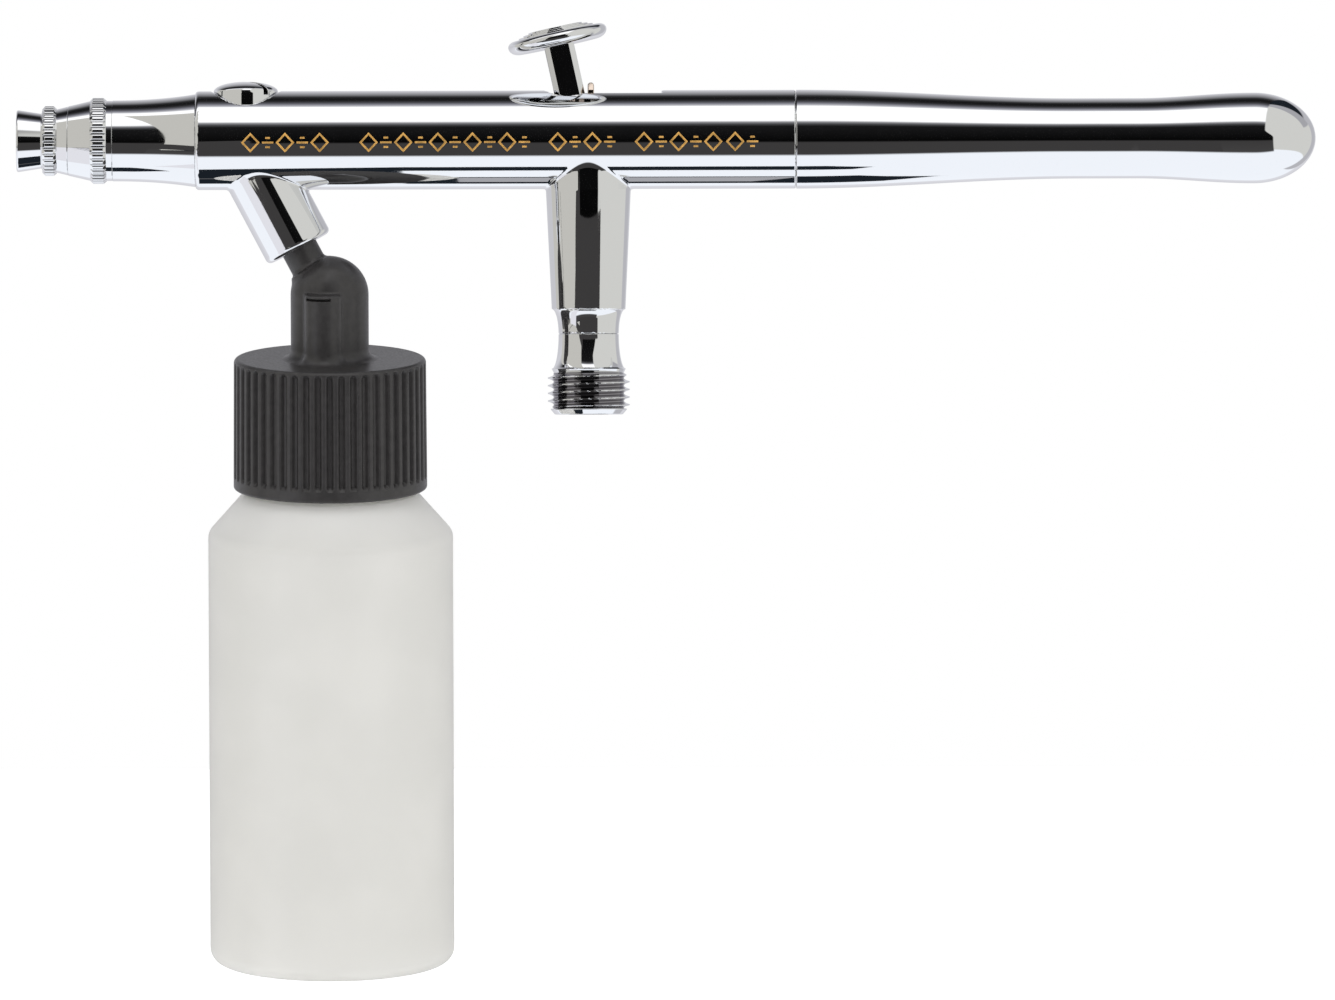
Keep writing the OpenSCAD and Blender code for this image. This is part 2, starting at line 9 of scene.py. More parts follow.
import bpy
import numpy as np
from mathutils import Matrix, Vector


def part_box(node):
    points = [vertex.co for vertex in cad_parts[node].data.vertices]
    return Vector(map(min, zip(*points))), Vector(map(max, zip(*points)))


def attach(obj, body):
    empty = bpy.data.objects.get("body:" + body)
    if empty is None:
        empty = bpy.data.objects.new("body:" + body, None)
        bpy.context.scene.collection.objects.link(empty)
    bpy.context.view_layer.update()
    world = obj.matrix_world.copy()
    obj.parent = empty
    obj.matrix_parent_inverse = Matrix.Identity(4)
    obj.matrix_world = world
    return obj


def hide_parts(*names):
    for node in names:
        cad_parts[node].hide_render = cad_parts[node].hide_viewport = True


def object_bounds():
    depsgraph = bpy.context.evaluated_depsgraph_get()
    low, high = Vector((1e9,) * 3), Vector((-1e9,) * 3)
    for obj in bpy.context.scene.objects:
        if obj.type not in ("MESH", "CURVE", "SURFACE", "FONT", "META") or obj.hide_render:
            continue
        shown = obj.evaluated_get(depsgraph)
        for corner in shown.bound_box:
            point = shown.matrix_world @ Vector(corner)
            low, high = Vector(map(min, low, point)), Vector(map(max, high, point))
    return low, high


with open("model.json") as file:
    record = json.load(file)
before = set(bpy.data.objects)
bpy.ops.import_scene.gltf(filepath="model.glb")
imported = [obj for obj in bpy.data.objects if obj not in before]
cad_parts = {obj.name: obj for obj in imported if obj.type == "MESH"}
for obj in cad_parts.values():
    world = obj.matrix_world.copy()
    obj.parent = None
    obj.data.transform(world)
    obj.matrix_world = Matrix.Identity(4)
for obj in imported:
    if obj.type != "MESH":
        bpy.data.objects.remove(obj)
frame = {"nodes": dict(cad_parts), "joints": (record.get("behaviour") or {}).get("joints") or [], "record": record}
cad_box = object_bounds()

MM = 0.001
TAU = 2 * math.pi


# ---------------------------------------------------------------- places taken from the frame

def box_mm(node):
    low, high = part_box(node)
    return np.array(low) / MM, np.array(high) / MM


def joint_line(name):
    """A point on a joint's axis in mm, and the axis."""
    joint = next(j for j in frame["joints"] if j["name"] == name)
    axis = np.array(joint["axis"], float)
    return np.array(joint["pos_m"], float) / MM, axis / np.linalg.norm(axis)


class Place:
    """A local frame: its origin in mm, and the row-frame directions of its X, Y and Z."""

    def __init__(self, origin, z, y=(0, 1, 0)):
        self.origin = np.array(origin, float)
        self.z = np.array(z, float) / np.linalg.norm(z)
        y = np.array(y, float) - np.dot(y, self.z) * self.z
        self.y = y / np.linalg.norm(y)
        self.x = np.cross(self.y, self.z)
        self.turn = np.stack([self.x, self.y, self.z])

    def out(self, points):
        return points @ self.turn + self.origin

    def into(self, points):
        return (points - self.origin) @ self.turn.T


axis_z = joint_line("handle_turn")[0][2]
ALONG = Place((0, 0, axis_z), (1, 0, 0))
UPRIGHT = Place((0, 0, 0), (0, 0, 1))

socket_point, socket_down = joint_line("bottle_swivel")
bottle_point, bottle_down = joint_line("bottle_turn")
socket_top = socket_point - socket_down * (socket_point[2] - axis_z) / socket_down[2]
SOCKET = Place(socket_top, socket_down)
# The elbow is where the socket's axis and the bottle's axis meet
across = np.cross(socket_down, bottle_down)
gap = bottle_point - socket_top
elbow_l = np.dot(np.cross(gap, bottle_down), across) / np.dot(across, across)
elbow = socket_top + socket_down * elbow_l
BOTTLE = Place(elbow, bottle_down, across)

trigger_pivot = joint_line("trigger_pull")[0]


# ---------------------------------------------------------------- meshes

def add_piece(name, points, faces, normals=None, place=UPRIGHT):
    """A mesh object from points in a place's frame. normals are given per face corner."""
    mesh = bpy.data.meshes.new(name)
    world = place.out(np.asarray(points, float)) * MM
    if isinstance(faces, list):
        sizes, flat = np.array([len(f) for f in faces]), np.concatenate([np.asarray(f) for f in faces])
    else:
        sizes, flat = np.full(len(faces), faces.shape[1]), faces.ravel()
    mesh.vertices.add(len(world))
    mesh.vertices.foreach_set("co", world.astype(np.float32).ravel())
    mesh.loops.add(len(flat))
    mesh.loops.foreach_set("vertex_index", flat.astype(np.int32))
    mesh.polygons.add(len(sizes))
    mesh.polygons.foreach_set("loop_start", np.concatenate([[0], np.cumsum(sizes)[:-1]]).astype(np.int32))
    mesh.polygons.foreach_set("loop_total", sizes.astype(np.int32))
    mesh.update(calc_edges=True)
    mesh.polygons.foreach_set("use_smooth", np.ones(len(sizes), bool))
    if normals is not None:
        turned = np.asarray(normals, float) @ place.turn
        mesh.normals_split_custom_set(turned.astype(np.float32).tolist())
    obj = bpy.data.objects.new(name, mesh)
    bpy.context.scene.collection.objects.link(obj)
    return obj


def fillet(a, b, c, radius, step=math.radians(9)):
    """Points of the arc that rounds corner b between a and c."""
    u = (a - b) / np.linalg.norm(a - b)
    v = (c - b) / np.linalg.norm(c - b)
    half = math.acos(np.clip(np.dot(u, v), -1, 1)) / 2
    if radius <= 0 or half > math.radians(89.5):
        return [b]
    reach = min(radius / math.tan(half), 0.49 * np.linalg.norm(a - b), 0.49 * np.linalg.norm(c - b))
    radius = reach * math.tan(half)
    middle = b + (u + v) / np.linalg.norm(u + v) * radius / math.sin(half)
    start, end = b + u * reach - middle, b + v * reach - middle
    sweep = math.atan2(start[0] * end[1] - start[1] * end[0], np.dot(start, end))
    count = max(2, math.ceil(abs(sweep) / step))
    turns = [sweep * i / count for i in range(count + 1)]
    return [middle + np.array([
        start[0] * math.cos(t) - start[1] * math.sin(t),
        start[0] * math.sin(t) + start[1] * math.cos(t)]) for t in turns]


def outline(*corners, closed=False):
    """A polyline from corners (u, v) or (u, v, fillet radius)."""
    at = [np.array(c[:2], float) for c in corners]
    points = []
    for i, corner in enumerate(corners):
        rounded = len(corner) > 2 and (closed or 0 < i < len(corners) - 1)
        points += fillet(at[i - 1], at[i], at[(i + 1) % len(at)], corner[2]) if rounded else [at[i]]
    return np.array(points)


def with_steps(points, chosen, step):
    """The outline with those edges cut into short steps for which chosen(a, b) is true."""
    made = [points[0]]
    for a, b in zip(points[:-1], points[1:]):
        count = max(1, math.ceil(np.linalg.norm(b - a) / step)) if chosen(a, b) else 1
        made += [a + (b - a) * i / count for i in range(1, count + 1)]
    return np.array(made)


def edge_normals(radius, along, closed=False, crease=math.radians(25)):
    """Normals (across, along) at both ends of each edge, to the right of the outline, for every column."""
    across, ahead = np.roll(radius, -1, 0) - radius, np.roll(along, -1, 0) - along
    if not closed:
        across, ahead = across[:-1], ahead[:-1]
    length = np.maximum(np.hypot(across, ahead), 1e-9)[..., None]
    flat = np.stack([ahead, -across], -1) / length
    after = np.roll(flat, -1, 0)
    shared = flat * length + after * np.roll(length, -1, 0)
    shared /= np.maximum(np.linalg.norm(shared, axis=-1, keepdims=True), 1e-9)
    soft = ((flat * after).sum(-1) > math.cos(crease))[..., None]
    if not closed:
        soft[-1] = False
    first = np.where(np.roll(soft, 1, 0), np.roll(shared, 1, 0), flat)
    return first, np.where(soft, shared, flat)


def lathe_data(points, segments=192, closed=True, shape=None):
    """Points, faces and corner normals of a turned solid.

    The outline runs so that its outside is on its right. shape(radius, along, angle) may change the
    radius round the axis.
    """
    rings = len(points)
    angle = np.arange(segments) / segments * TAU
    radius = np.repeat(points[:, :1], segments, 1)
    along = np.repeat(points[:, 1:], segments, 1)
    if shape is not None:
        radius = shape(radius, along, angle[None, :])
    xyz = np.stack([radius * np.cos(angle), radius * np.sin(angle), along], -1).reshape(-1, 3)
    count = rings if closed else rings - 1
    i, k = np.meshgrid(np.arange(count), np.arange(segments), indexing="ij")
    i2, k2 = (i + 1) % rings, (k + 1) % segments
    faces = np.stack([i * segments + k, i * segments + k2, i2 * segments + k2, i2 * segments + k], -1)
    first, last = edge_normals(radius, along, closed)
    climb = (np.roll(radius, -1, 1) - np.roll(radius, 1, 1)) * segments / (2 * TAU) / np.maximum(radius, 1e-3)

    def spun(normal, ring, column):
        out, up = normal[i, column, 0], normal[i, column, 1]
        c, s = np.cos(angle[column]), np.sin(angle[column])
        side = -out * climb[ring, column]
        vector = np.stack([out * c - side * s, out * s + side * c, up], -1)
        return vector / np.maximum(np.linalg.norm(vector, axis=-1, keepdims=True), 1e-9)

    corners = [spun(first, i, k), spun(first, i, k2), spun(last, i2, k2), spun(last, i2, k)]
    return xyz, faces.reshape(-1, 4), np.stack(corners, 2).reshape(-1, 3)


def tidy_lathe(xyz, faces, normals):
    """Merges the points on the axis and drops faces with no area."""
    on_axis = np.linalg.norm(xyz[:, :2], axis=1) < 1e-6
    key = np.arange(len(xyz))
    heights = {}
    for v in np.nonzero(on_axis)[0]:
        key[v] = heights.setdefault(round(float(xyz[v, 2]), 5), v)
    faces = key[faces]
    new_faces, new_normals = [], []
    for face, normal in zip(faces, normals.reshape(-1, 4, 3)):
        keep = [c for c in range(4) if face[c] != face[c - 1]]
        if len(keep) >= 3:
            new_faces.append([int(face[c]) for c in keep])
            new_normals += [normal[c] for c in keep]
    used = np.unique(np.concatenate(new_faces))
    number = np.full(len(xyz), -1)
    number[used] = np.arange(len(used))
    return xyz[used], [list(number[f]) for f in new_faces], np.array(new_normals)


def lathe(name, points, place=ALONG, segments=192, closed=True, shape=None):
    """A turned piece from its outline."""
    data = lathe_data(np.asarray(points, float), segments, closed, shape)
    if np.min(np.asarray(points)[:, 0]) < 1e-6:
        data = tidy_lathe(*data)
    xyz, faces, normals = data
    return add_piece(name, xyz, faces, normals, place)


def surface_net(field, xs, ys, zs):
    """A closed mesh of field(points) = 0 on a grid, moved onto the exact surface, with its exact normals."""
    lines = (np.asarray(xs, float), np.asarray(ys, float), np.asarray(zs, float))
    values = np.empty([len(line) for line in lines])
    for i, x in enumerate(lines[0]):
        y, z = np.meshgrid(lines[1], lines[2], indexing="ij")
        values[i] = field(np.stack([np.full_like(y, x), y, z], -1))
    inside = values < 0
    cells = np.array(values.shape) - 1

    def cell_id(index):
        return (index[:, 0] * cells[1] + index[:, 1]) * cells[2] + index[:, 2]

    ids, points, quads = [], [], []
    for a in range(3):
        b, c = (a + 1) % 3, (a + 2) % 3
        low = [slice(None)] * 3
        high = [slice(None)] * 3
        low[a], high[a] = slice(None, -1), slice(1, None)
        index = np.argwhere(inside[tuple(low)] != inside[tuple(high)])
        other = index.copy()
        other[:, a] += 1
        va, vb = values[tuple(index.T)], values[tuple(other.T)]
        share = va / (va - vb)
        crossing = np.stack([lines[d][index[:, d]] for d in range(3)], 1)
        crossing[:, a] += share * (lines[a][other[:, a]] - lines[a][index[:, a]])
        ring = []
        for db, dc in ((0, 0), (-1, 0), (-1, -1), (0, -1)):
            cell = index.copy()
            cell[:, b] += db
            cell[:, c] += dc
            ring.append(cell_id(cell))
            ids.append(ring[-1])
            points.append(crossing)
        ring = np.stack(ring, 1)
        quads.append(np.where((va < 0)[:, None], ring, ring[:, ::-1]))
    quads = np.concatenate(quads)
    ids, points = np.concatenate(ids), np.concatenate(points)
    used, number = np.unique(ids, return_inverse=True)
    total = np.bincount(number)
    xyz = np.stack([np.bincount(number, points[:, d]) / total for d in range(3)], 1)
    faces = np.searchsorted(used, quads)
    for _ in range(3):
        slope = gradient(field, xyz)
        step = field(xyz)[:, None] * slope / np.maximum((slope ** 2).sum(1), 1e-6)[:, None]
        size = np.linalg.norm(step, axis=1)[:, None]
        xyz = xyz - step * np.minimum(1, 0.1 / np.maximum(size, 1e-9))
    slope = gradient(field, xyz)
    normals = slope / np.maximum(np.linalg.norm(slope, axis=1), 1e-9)[:, None]
    return xyz, faces, normals[faces.ravel()]


def gradient(field, points, reach=0.01):
    steps = np.eye(3) * reach
    return np.stack([field(points + s) - field(points - s) for s in steps], -1) / (2 * reach)


def grid_line(low, high, *fine, step=0.18, coarse=0.8):
    """Grid lines from low to high, with the fine step inside the fine stretches."""
    line = [low]
    while line[-1] < high:
        x = line[-1] + 1e-6
        if any(a <= x < b for a, b in fine):
            line.append(x + step)
        else:
            ahead = [a - x for a, _ in fine if a > x]
            line.append(x + min([coarse] + [max(step, d) for d in ahead]))
    return np.array(line)


# Signed distances, all in mm. Joined edges are rounded by a small radius.

def smooth_min(a, b, radius):
    overlap = np.maximum(radius - np.abs(a - b), 0)
    return np.minimum(a, b) - overlap ** 2 / (4 * radius)


def smooth_max(a, b, radius):
    return -smooth_min(-a, -b, radius)


def rod(p, radius, low, high, edge=0.15):
    """A round bar along Z between low and high."""
    side = np.hypot(p[..., 0], p[..., 1]) - radius
    ends = np.abs(p[..., 2] - (low + high) / 2) - (high - low) / 2
    return smooth_max(side, ends, edge)


def slab(p, half, centre, edge=0.1):
    """A box with half sizes about a centre."""
    d = np.abs(p - np.array(centre)) - np.array(half)
    return smooth_max(smooth_max(d[..., 0], d[..., 1], edge), d[..., 2], edge)


def joined(name, *parts, place=UPRIGHT):
    """One piece from several (points, faces, normals), which may overlap."""
    points, faces, normals, start = [], [], [], 0
    for xyz, f, n in parts:
        points.append(xyz)
        faces += [[int(v) + start for v in face] for face in f]
        normals.append(n)
        start += len(xyz)
    return add_piece(name, np.concatenate(points), faces, np.concatenate(normals), place)


# ---------------------------------------------------------------- nose

nose_x = box_mm("needle_cap")[0][0]
needle_cap_end = box_mm("needle_cap")[1][0]
nozzle_cap_end = needle_cap_end + 5.3
body_front, body_rear = box_mm("body")[0][0], box_mm("body")[1][0]


def knurled(name, points, ring, ridges):
    """A turned piece with a knurled ring: barrel-shaped ridges with narrow grooves between them."""
    low, high = ring
    barrel, groove_depth, groove_at = 0.13, 0.2, 0.7

    def in_ring(a, b):
        return min(a[1], b[1]) >= low - 1e-6 and max(a[1], b[1]) <= high + 1e-6

    def shape(radius, along, angle):
        t = np.abs((angle * ridges / TAU) % 1 - 0.5) * 2
        drop = barrel * t ** 2 + groove_depth * np.clip((t - groove_at) / (1 - groove_at), 0, 1)
        inside = (along > low) & (along < high)
        crest = radius[inside].max() if inside.any() else 0
        return np.where(inside, np.minimum(radius, crest - drop), radius)

    return lathe(name, with_steps(points, in_ring, 0.1), segments=16 * ridges, shape=shape)


def make_needle_cap():
    rear = needle_cap_end
    ring = (nose_x + 3.06, nose_x + 4.74)
    points = outline(
        (2.9, nose_x, 0.1), (3.7, nose_x, 0.22), (3.24, nose_x + 2.92, 0.05), (3.5, ring[0], 0.02),
        (3.78, ring[0], 0.03), (4.14, ring[0] + 0.34, 0.1), (4.14, ring[1] - 0.34, 0.1),
        (3.85, ring[1], 0.03), (3.75, ring[1] + 0.03), (4.08, rear, 0.08), (2.95, rear),
        (2.95, rear - 2.7), (1.5, rear - 2.9), (1.5, nose_x + 2.2), closed=True)
    return knurled("needle_cap_shell", points, ring, ridges=33)


def make_nozzle_cap():
    front, rear = needle_cap_end, nozzle_cap_end
    ring = (front + 2.66, front + 4.56)
    points = outline(
        (0.75, front - 2.4), (2.9, front - 2.4, 0.12), (2.9, front), (4.1, front, 0.08),
        (4.72, ring[0] - 0.02), (4.78, ring[0], 0.02), (5.1, ring[0] + 0.34, 0.1),
        (5.1, ring[1] - 0.34, 0.1), (4.82, ring[1], 0.02), (4.75, ring[1] + 0.02), (4.75, rear, 0.08),
        (3.85, rear), (3.85, rear - 4.1), (2.2, front + 1), (0.95, front - 1.6), (0.75, front - 1.8),
        closed=True)
    return knurled("nozzle_cap_shell", points, ring, ridges=40)


def make_head():
    front_r, rear_r, spigot_r, spigot_l, thread_r, thread_l, bore_r = 4.79, 5.5, 3.8, 3.9, 2.5, 3, 0.95
    chamfer = 0.03
    start, length = nozzle_cap_end + chamfer, body_front - nozzle_cap_end - 2 * chamfer
    u = np.linspace(0, 1, 48)
    taper = np.stack([front_r + (rear_r - front_r) * u ** 2.2, start + length * u], 1)
    front = outline((bore_r, nozzle_cap_end - spigot_l), (spigot_r, nozzle_cap_end - spigot_l, 0.15),
                    (spigot_r, nozzle_cap_end), (front_r - 0.05, nozzle_cap_end))
    rear = outline((rear_r - 0.05, body_front), (thread_r, body_front), (thread_r, body_front + thread_l),
                   (bore_r, body_front + thread_l))
    return lathe("head_shell", np.concatenate([front, taper, rear]))


# ---------------------------------------------------------------- handle

def make_handle():
    end_x = box_mm("handle")[1][0]
    start_x = body_rear + 0.05
    front_r, waist_r, swell_r = 5.86, 4.75, 5.37
    waist, swell_x = (58, 65), end_x - 7.3
    thread_r, thread_l, bore_r, deep_bore_r = 4.9, 5, 4, 3

    def ease(u):
        return (1 - np.cos(math.pi * np.clip(u, 0, 1))) / 2

    x = np.concatenate([np.linspace(start_x + 0.1, swell_x, 150), swell_x + (end_x - swell_x) *
                        np.sin(np.linspace(0, math.pi / 2, 40)[1:])])
    fall = front_r + (waist_r - front_r) * ease((x - body_rear) / (waist[0] - body_rear))
    rise = (swell_r - waist_r) * ease((x - waist[1]) / (swell_x - waist[1]))
    round_end = np.sqrt(np.clip(1 - ((x - swell_x) / (end_x - swell_x)) ** 2, 0, 1))
    radius = np.where(x < swell_x, fall + rise, swell_r * round_end)
    inner = outline((0, 72), (deep_bore_r, 70), (deep_bore_r, 44), (bore_r, 43), (bore_r, start_x - thread_l),
                    (thread_r, start_x - thread_l, 0.3), (thread_r, start_x), (front_r - 0.12, start_x),
                    (front_r - 0.03, start_x + 0.04))
    radius[-1] = 0
    return lathe("handle_shell", np.concatenate([inner, np.stack([radius, x], 1)]), closed=False)


# ---------------------------------------------------------------- air valve

INLET_R = box_mm("air_valve_body")[1][0]
INLET_L = 4.7
PITCH = 0.907
VALVE_TOP = box_mm("air_valve_body")[1][2]
THREAD_ROOT_R = INLET_R - 0.68
THREAD_TOP = INLET_L - 0.5


def inlet_thread(radius, along, angle):
    """The G1/8 thread: narrow crests and wide rounded roots, running out at both ends."""
    crest_share, groove_share = 0.13, 0.8
    t = np.abs((along / PITCH - angle / TAU) % 1 - 0.5) * 2
    groove = 1 - (1 - np.clip((t - crest_share) / groove_share, 0, 1)) ** 1.8
    fade = np.clip((along - 0.05) / 0.3, 0, 1) * np.clip((THREAD_TOP - along) / 0.4, 0, 1)
    inside = (along > 0) & (along < THREAD_TOP + 1e-3) & (radius > INLET_R - 0.1)
    return np.where(inside, THREAD_ROOT_R + (INLET_R - THREAD_ROOT_R) * (1 - groove) * fade, radius)


def make_air_valve_body():
    neck_r, neck_z, bore_r, chamber_r, seat_r, seat_z = 3.57, 8.85, 2.4, 3, 1.6, 12.6
    chamfer, end_z, end_r, ring_r, thread_rows = 0.06, -0.7, 4.02, 4.6, 130
    u = np.linspace(1, 0, 26)
    flare = np.stack([neck_r + (INLET_R - 0.45 - neck_r) * (1 - np.sqrt(1 - u ** 2)),
                      neck_z - chamfer - (neck_z - chamfer - INLET_L) * u], 1)
    ring = outline((bore_r, end_z, 0.15), (end_r, end_z, 0.25), (ring_r, -0.02, 0.08), (INLET_R - 0.7, 0.02))
    side = np.stack([np.full(thread_rows, INLET_R), np.linspace(0.04, THREAD_TOP, thread_rows)], 1)
    rest = outline((neck_r - chamfer, neck_z), (chamber_r, neck_z), (chamber_r, VALVE_TOP),
                   (seat_r, VALVE_TOP), (seat_r, seat_z), (bore_r, seat_z))
    lip = outline((THREAD_ROOT_R, THREAD_TOP + 0.01), (THREAD_ROOT_R - 0.05, THREAD_TOP + 0.02),
                  (INLET_R - 0.5, INLET_L - 0.02))
    points = np.concatenate([ring, side, lip, flare, rest])
    return lathe("air_valve_shell", points, UPRIGHT, 256, shape=inlet_thread)


# ---------------------------------------------------------------- plug, lever and trigger

plug_low, plug_high = box_mm("plug_screw")
plug_x = (plug_low[0] + plug_high[0]) / 2
PLUG = Place((plug_x, 0, axis_z), (0, 0, 1))
PLUG_RECESS_R = 3.92


def plug_field(p):
    head_r, thread_r, rim_z, low, slot_half, slot_d = PLUG_RECESS_R - 0.1, 2.2, 5.8, 3.4, 0.3, 0.4
    rise = plug_high[2] - axis_z - rim_z + 0.15
    flat = np.hypot(p[..., 0], p[..., 1])
    dome = p[..., 2] - rim_z - rise * np.sqrt(np.clip(1 - (flat / head_r) ** 2, 0, 1)) + 0.02
    head = smooth_max(smooth_max(flat - head_r, dome, 0.12), low - p[..., 2], 0.05)
    solid = np.minimum(head, rod(p, thread_r, 1.7, low + 0.5, 0.05))
    turn = math.radians(-50)
    side = p[..., 0] * -math.sin(turn) + p[..., 1] * math.cos(turn)
    slot = np.maximum(np.abs(side) - slot_half, rim_z - slot_d - p[..., 2])
    return smooth_max(solid, -slot, 0.08)


def make_plug():
    line = grid_line(-4, 4, (-4, 4), step=0.09)
    data = surface_net(plug_field, line, line, grid_line(1.5, 7.1, (5.0, 7.1), step=0.09, coarse=0.4))
    return add_piece("plug_screw_head", *data, place=PLUG)


lever_pivot = joint_line("lever_rock")[0]
LEVER_HALF_W = (box_mm("auxiliary_lever")[1][1] - box_mm("auxiliary_lever")[0][1]) / 2


def bar(p, a, b, radius):
    """Distance to a round-ended bar between two (x, z) points, in side view."""
    a, b = np.array(a, float), np.array(b, float)
    q = p[..., [0, 2]] - a
    share = np.clip(q @ (b - a) / np.dot(b - a, b - a), 0, 1)
    return np.linalg.norm(q - share[..., None] * (b - a), axis=-1) - radius


def lever_field(p):
    foot, eye = (lever_pivot[0], lever_pivot[2]), (lever_pivot[0] + 1e-3, lever_pivot[2])
    knee, nose = (3.1, axis_z + 2.3), (1.3, axis_z + 2.3)
    neck, tip = (0.33, axis_z + 4.9), (0.33, axis_z + 6.4)
    side = bar(p, foot, knee, 0.5)
    for a, b, radius in ((foot, eye, 0.7), (knee, nose, 0.8), (knee, neck, 0.35), (neck, tip, 0.38)):
        side = smooth_min(side, bar(p, a, b, radius), 0.2)
    half = LEVER_HALF_W - 0.6 * np.maximum(p[..., 2] - axis_z - 5.9, 0)
    solid = smooth_max(side, np.abs(p[..., 1]) - half, 0.12)
    return smooth_max(solid, -slab(p, (4, 0.85, 1.3), (2, 0, axis_z + 0.1)), 0.1)


def make_lever():
    xs = grid_line(-0.4, 4.9, (-0.4, 4.9), step=0.1)
    ys = grid_line(-2, 2, (-2, 2), step=0.12)
    zs = grid_line(axis_z - 3.8, axis_z + 7.4, (axis_z - 4, axis_z + 8), step=0.1)
    return add_piece("lever_blade", *surface_net(lever_field, xs, ys, zs))


LEAN = math.radians(12.3)
TRIGGER = Place(trigger_pivot, (-math.sin(LEAN), 0, math.cos(LEAN)))
STEM_HALF = LEVER_HALF_W + 0.14
BUTTON_R, BUTTON_T, TRIGGER_L = 5.95, 2.28, 17.18


def stem_field(p):
    chamfer, lug_r, lug_half, stem_low, top = 0.6, 1.3, 0.85, 2.2, TRIGGER_L - 0.6
    x, y, z = np.abs(p[..., 0]), np.abs(p[..., 1]), p[..., 2]
    square = smooth_max(x - STEM_HALF, y - STEM_HALF, 0.05)
    square = smooth_max(square, (x + y - 2 * STEM_HALF + chamfer) / math.sqrt(2), 0.06)
    stem = smooth_max(square, np.abs(z - (stem_low + top) / 2) - (top - stem_low) / 2, 0.1)
    disc = smooth_max(np.hypot(p[..., 0], z) - lug_r, y - lug_half, 0.08)
    web = slab(p, (lug_r, lug_half, 1.6), (0, 0, 1.6))
    solid = smooth_min(np.minimum(disc, web), stem, 0.1)
    hole = np.hypot(p[..., 0], z) - 0.48
    slot = slab(p, (3, 0.85, 2.35), (0, 0, 5.65))
    return smooth_max(smooth_max(solid, -hole, 0.04), -slot, 0.06)


def make_trigger():
    """The square stem and the button with its turned steps, as one piece."""
    line = grid_line(-1.9, 1.9, (-2, 2), step=0.1)
    zs = grid_line(-1.6, TRIGGER_L, (-1.6, 9), (15.8, 17), step=0.12, coarse=0.3)
    stem = surface_net(stem_field, line, line, zs)
    low, r, step = TRIGGER_L - BUTTON_T / 2, BUTTON_R, 0.2
    turn = np.linspace(-math.pi / 2, math.pi / 2, 25)
    wide, tall = np.where(turn < 0, 1.3, 0.85), np.where(turn < 0, 1.0, BUTTON_T - 3 * step - 1.0)
    rim = np.stack([r - wide + wide * np.cos(turn), low + 1.0 + tall * np.sin(turn)], 1)
    terraces = []
    for i, inset in enumerate((1.45, 2.05, 2.7)):
        z = low + BUTTON_T - (3 - i) * step
        terraces += [(r - inset, z, 0.03), (r - inset, z + step, 0.06)]
    top = outline((r - 0.9, low + BUTTON_T - 3 * step), *terraces, (0, low + BUTTON_T))
    button = np.concatenate([[(0, low)], rim, top])
    turned = tidy_lathe(*lathe_data(button, 256, closed=False))
    return joined("trigger_lever", stem, turned, place=TRIGGER)


# ---------------------------------------------------------------- body

SOCKET_R, SOCKET_L = 4.18, 14.5
STEM_R = 2.2
BOSS_BOTTOM = 8.85
TUBE_R = 5.85


def boss_radius(z):
    neck_r, low_r, top_r, neck_top, top = 3.57, 4.37, 5.03, BOSS_BOTTOM + 2.95, axis_z - 6
    u = np.clip((z - BOSS_BOTTOM) / (neck_top - BOSS_BOTTOM), 0, 1)
    neck = neck_r + (low_r - neck_r) * (1 - np.sqrt(np.clip(1 - u ** 2, 0, 1)))
    taper = low_r + (top_r - low_r) * np.clip((z - neck_top) / (top - neck_top), 0, 1)
    return np.where(z < neck_top, neck, taper)


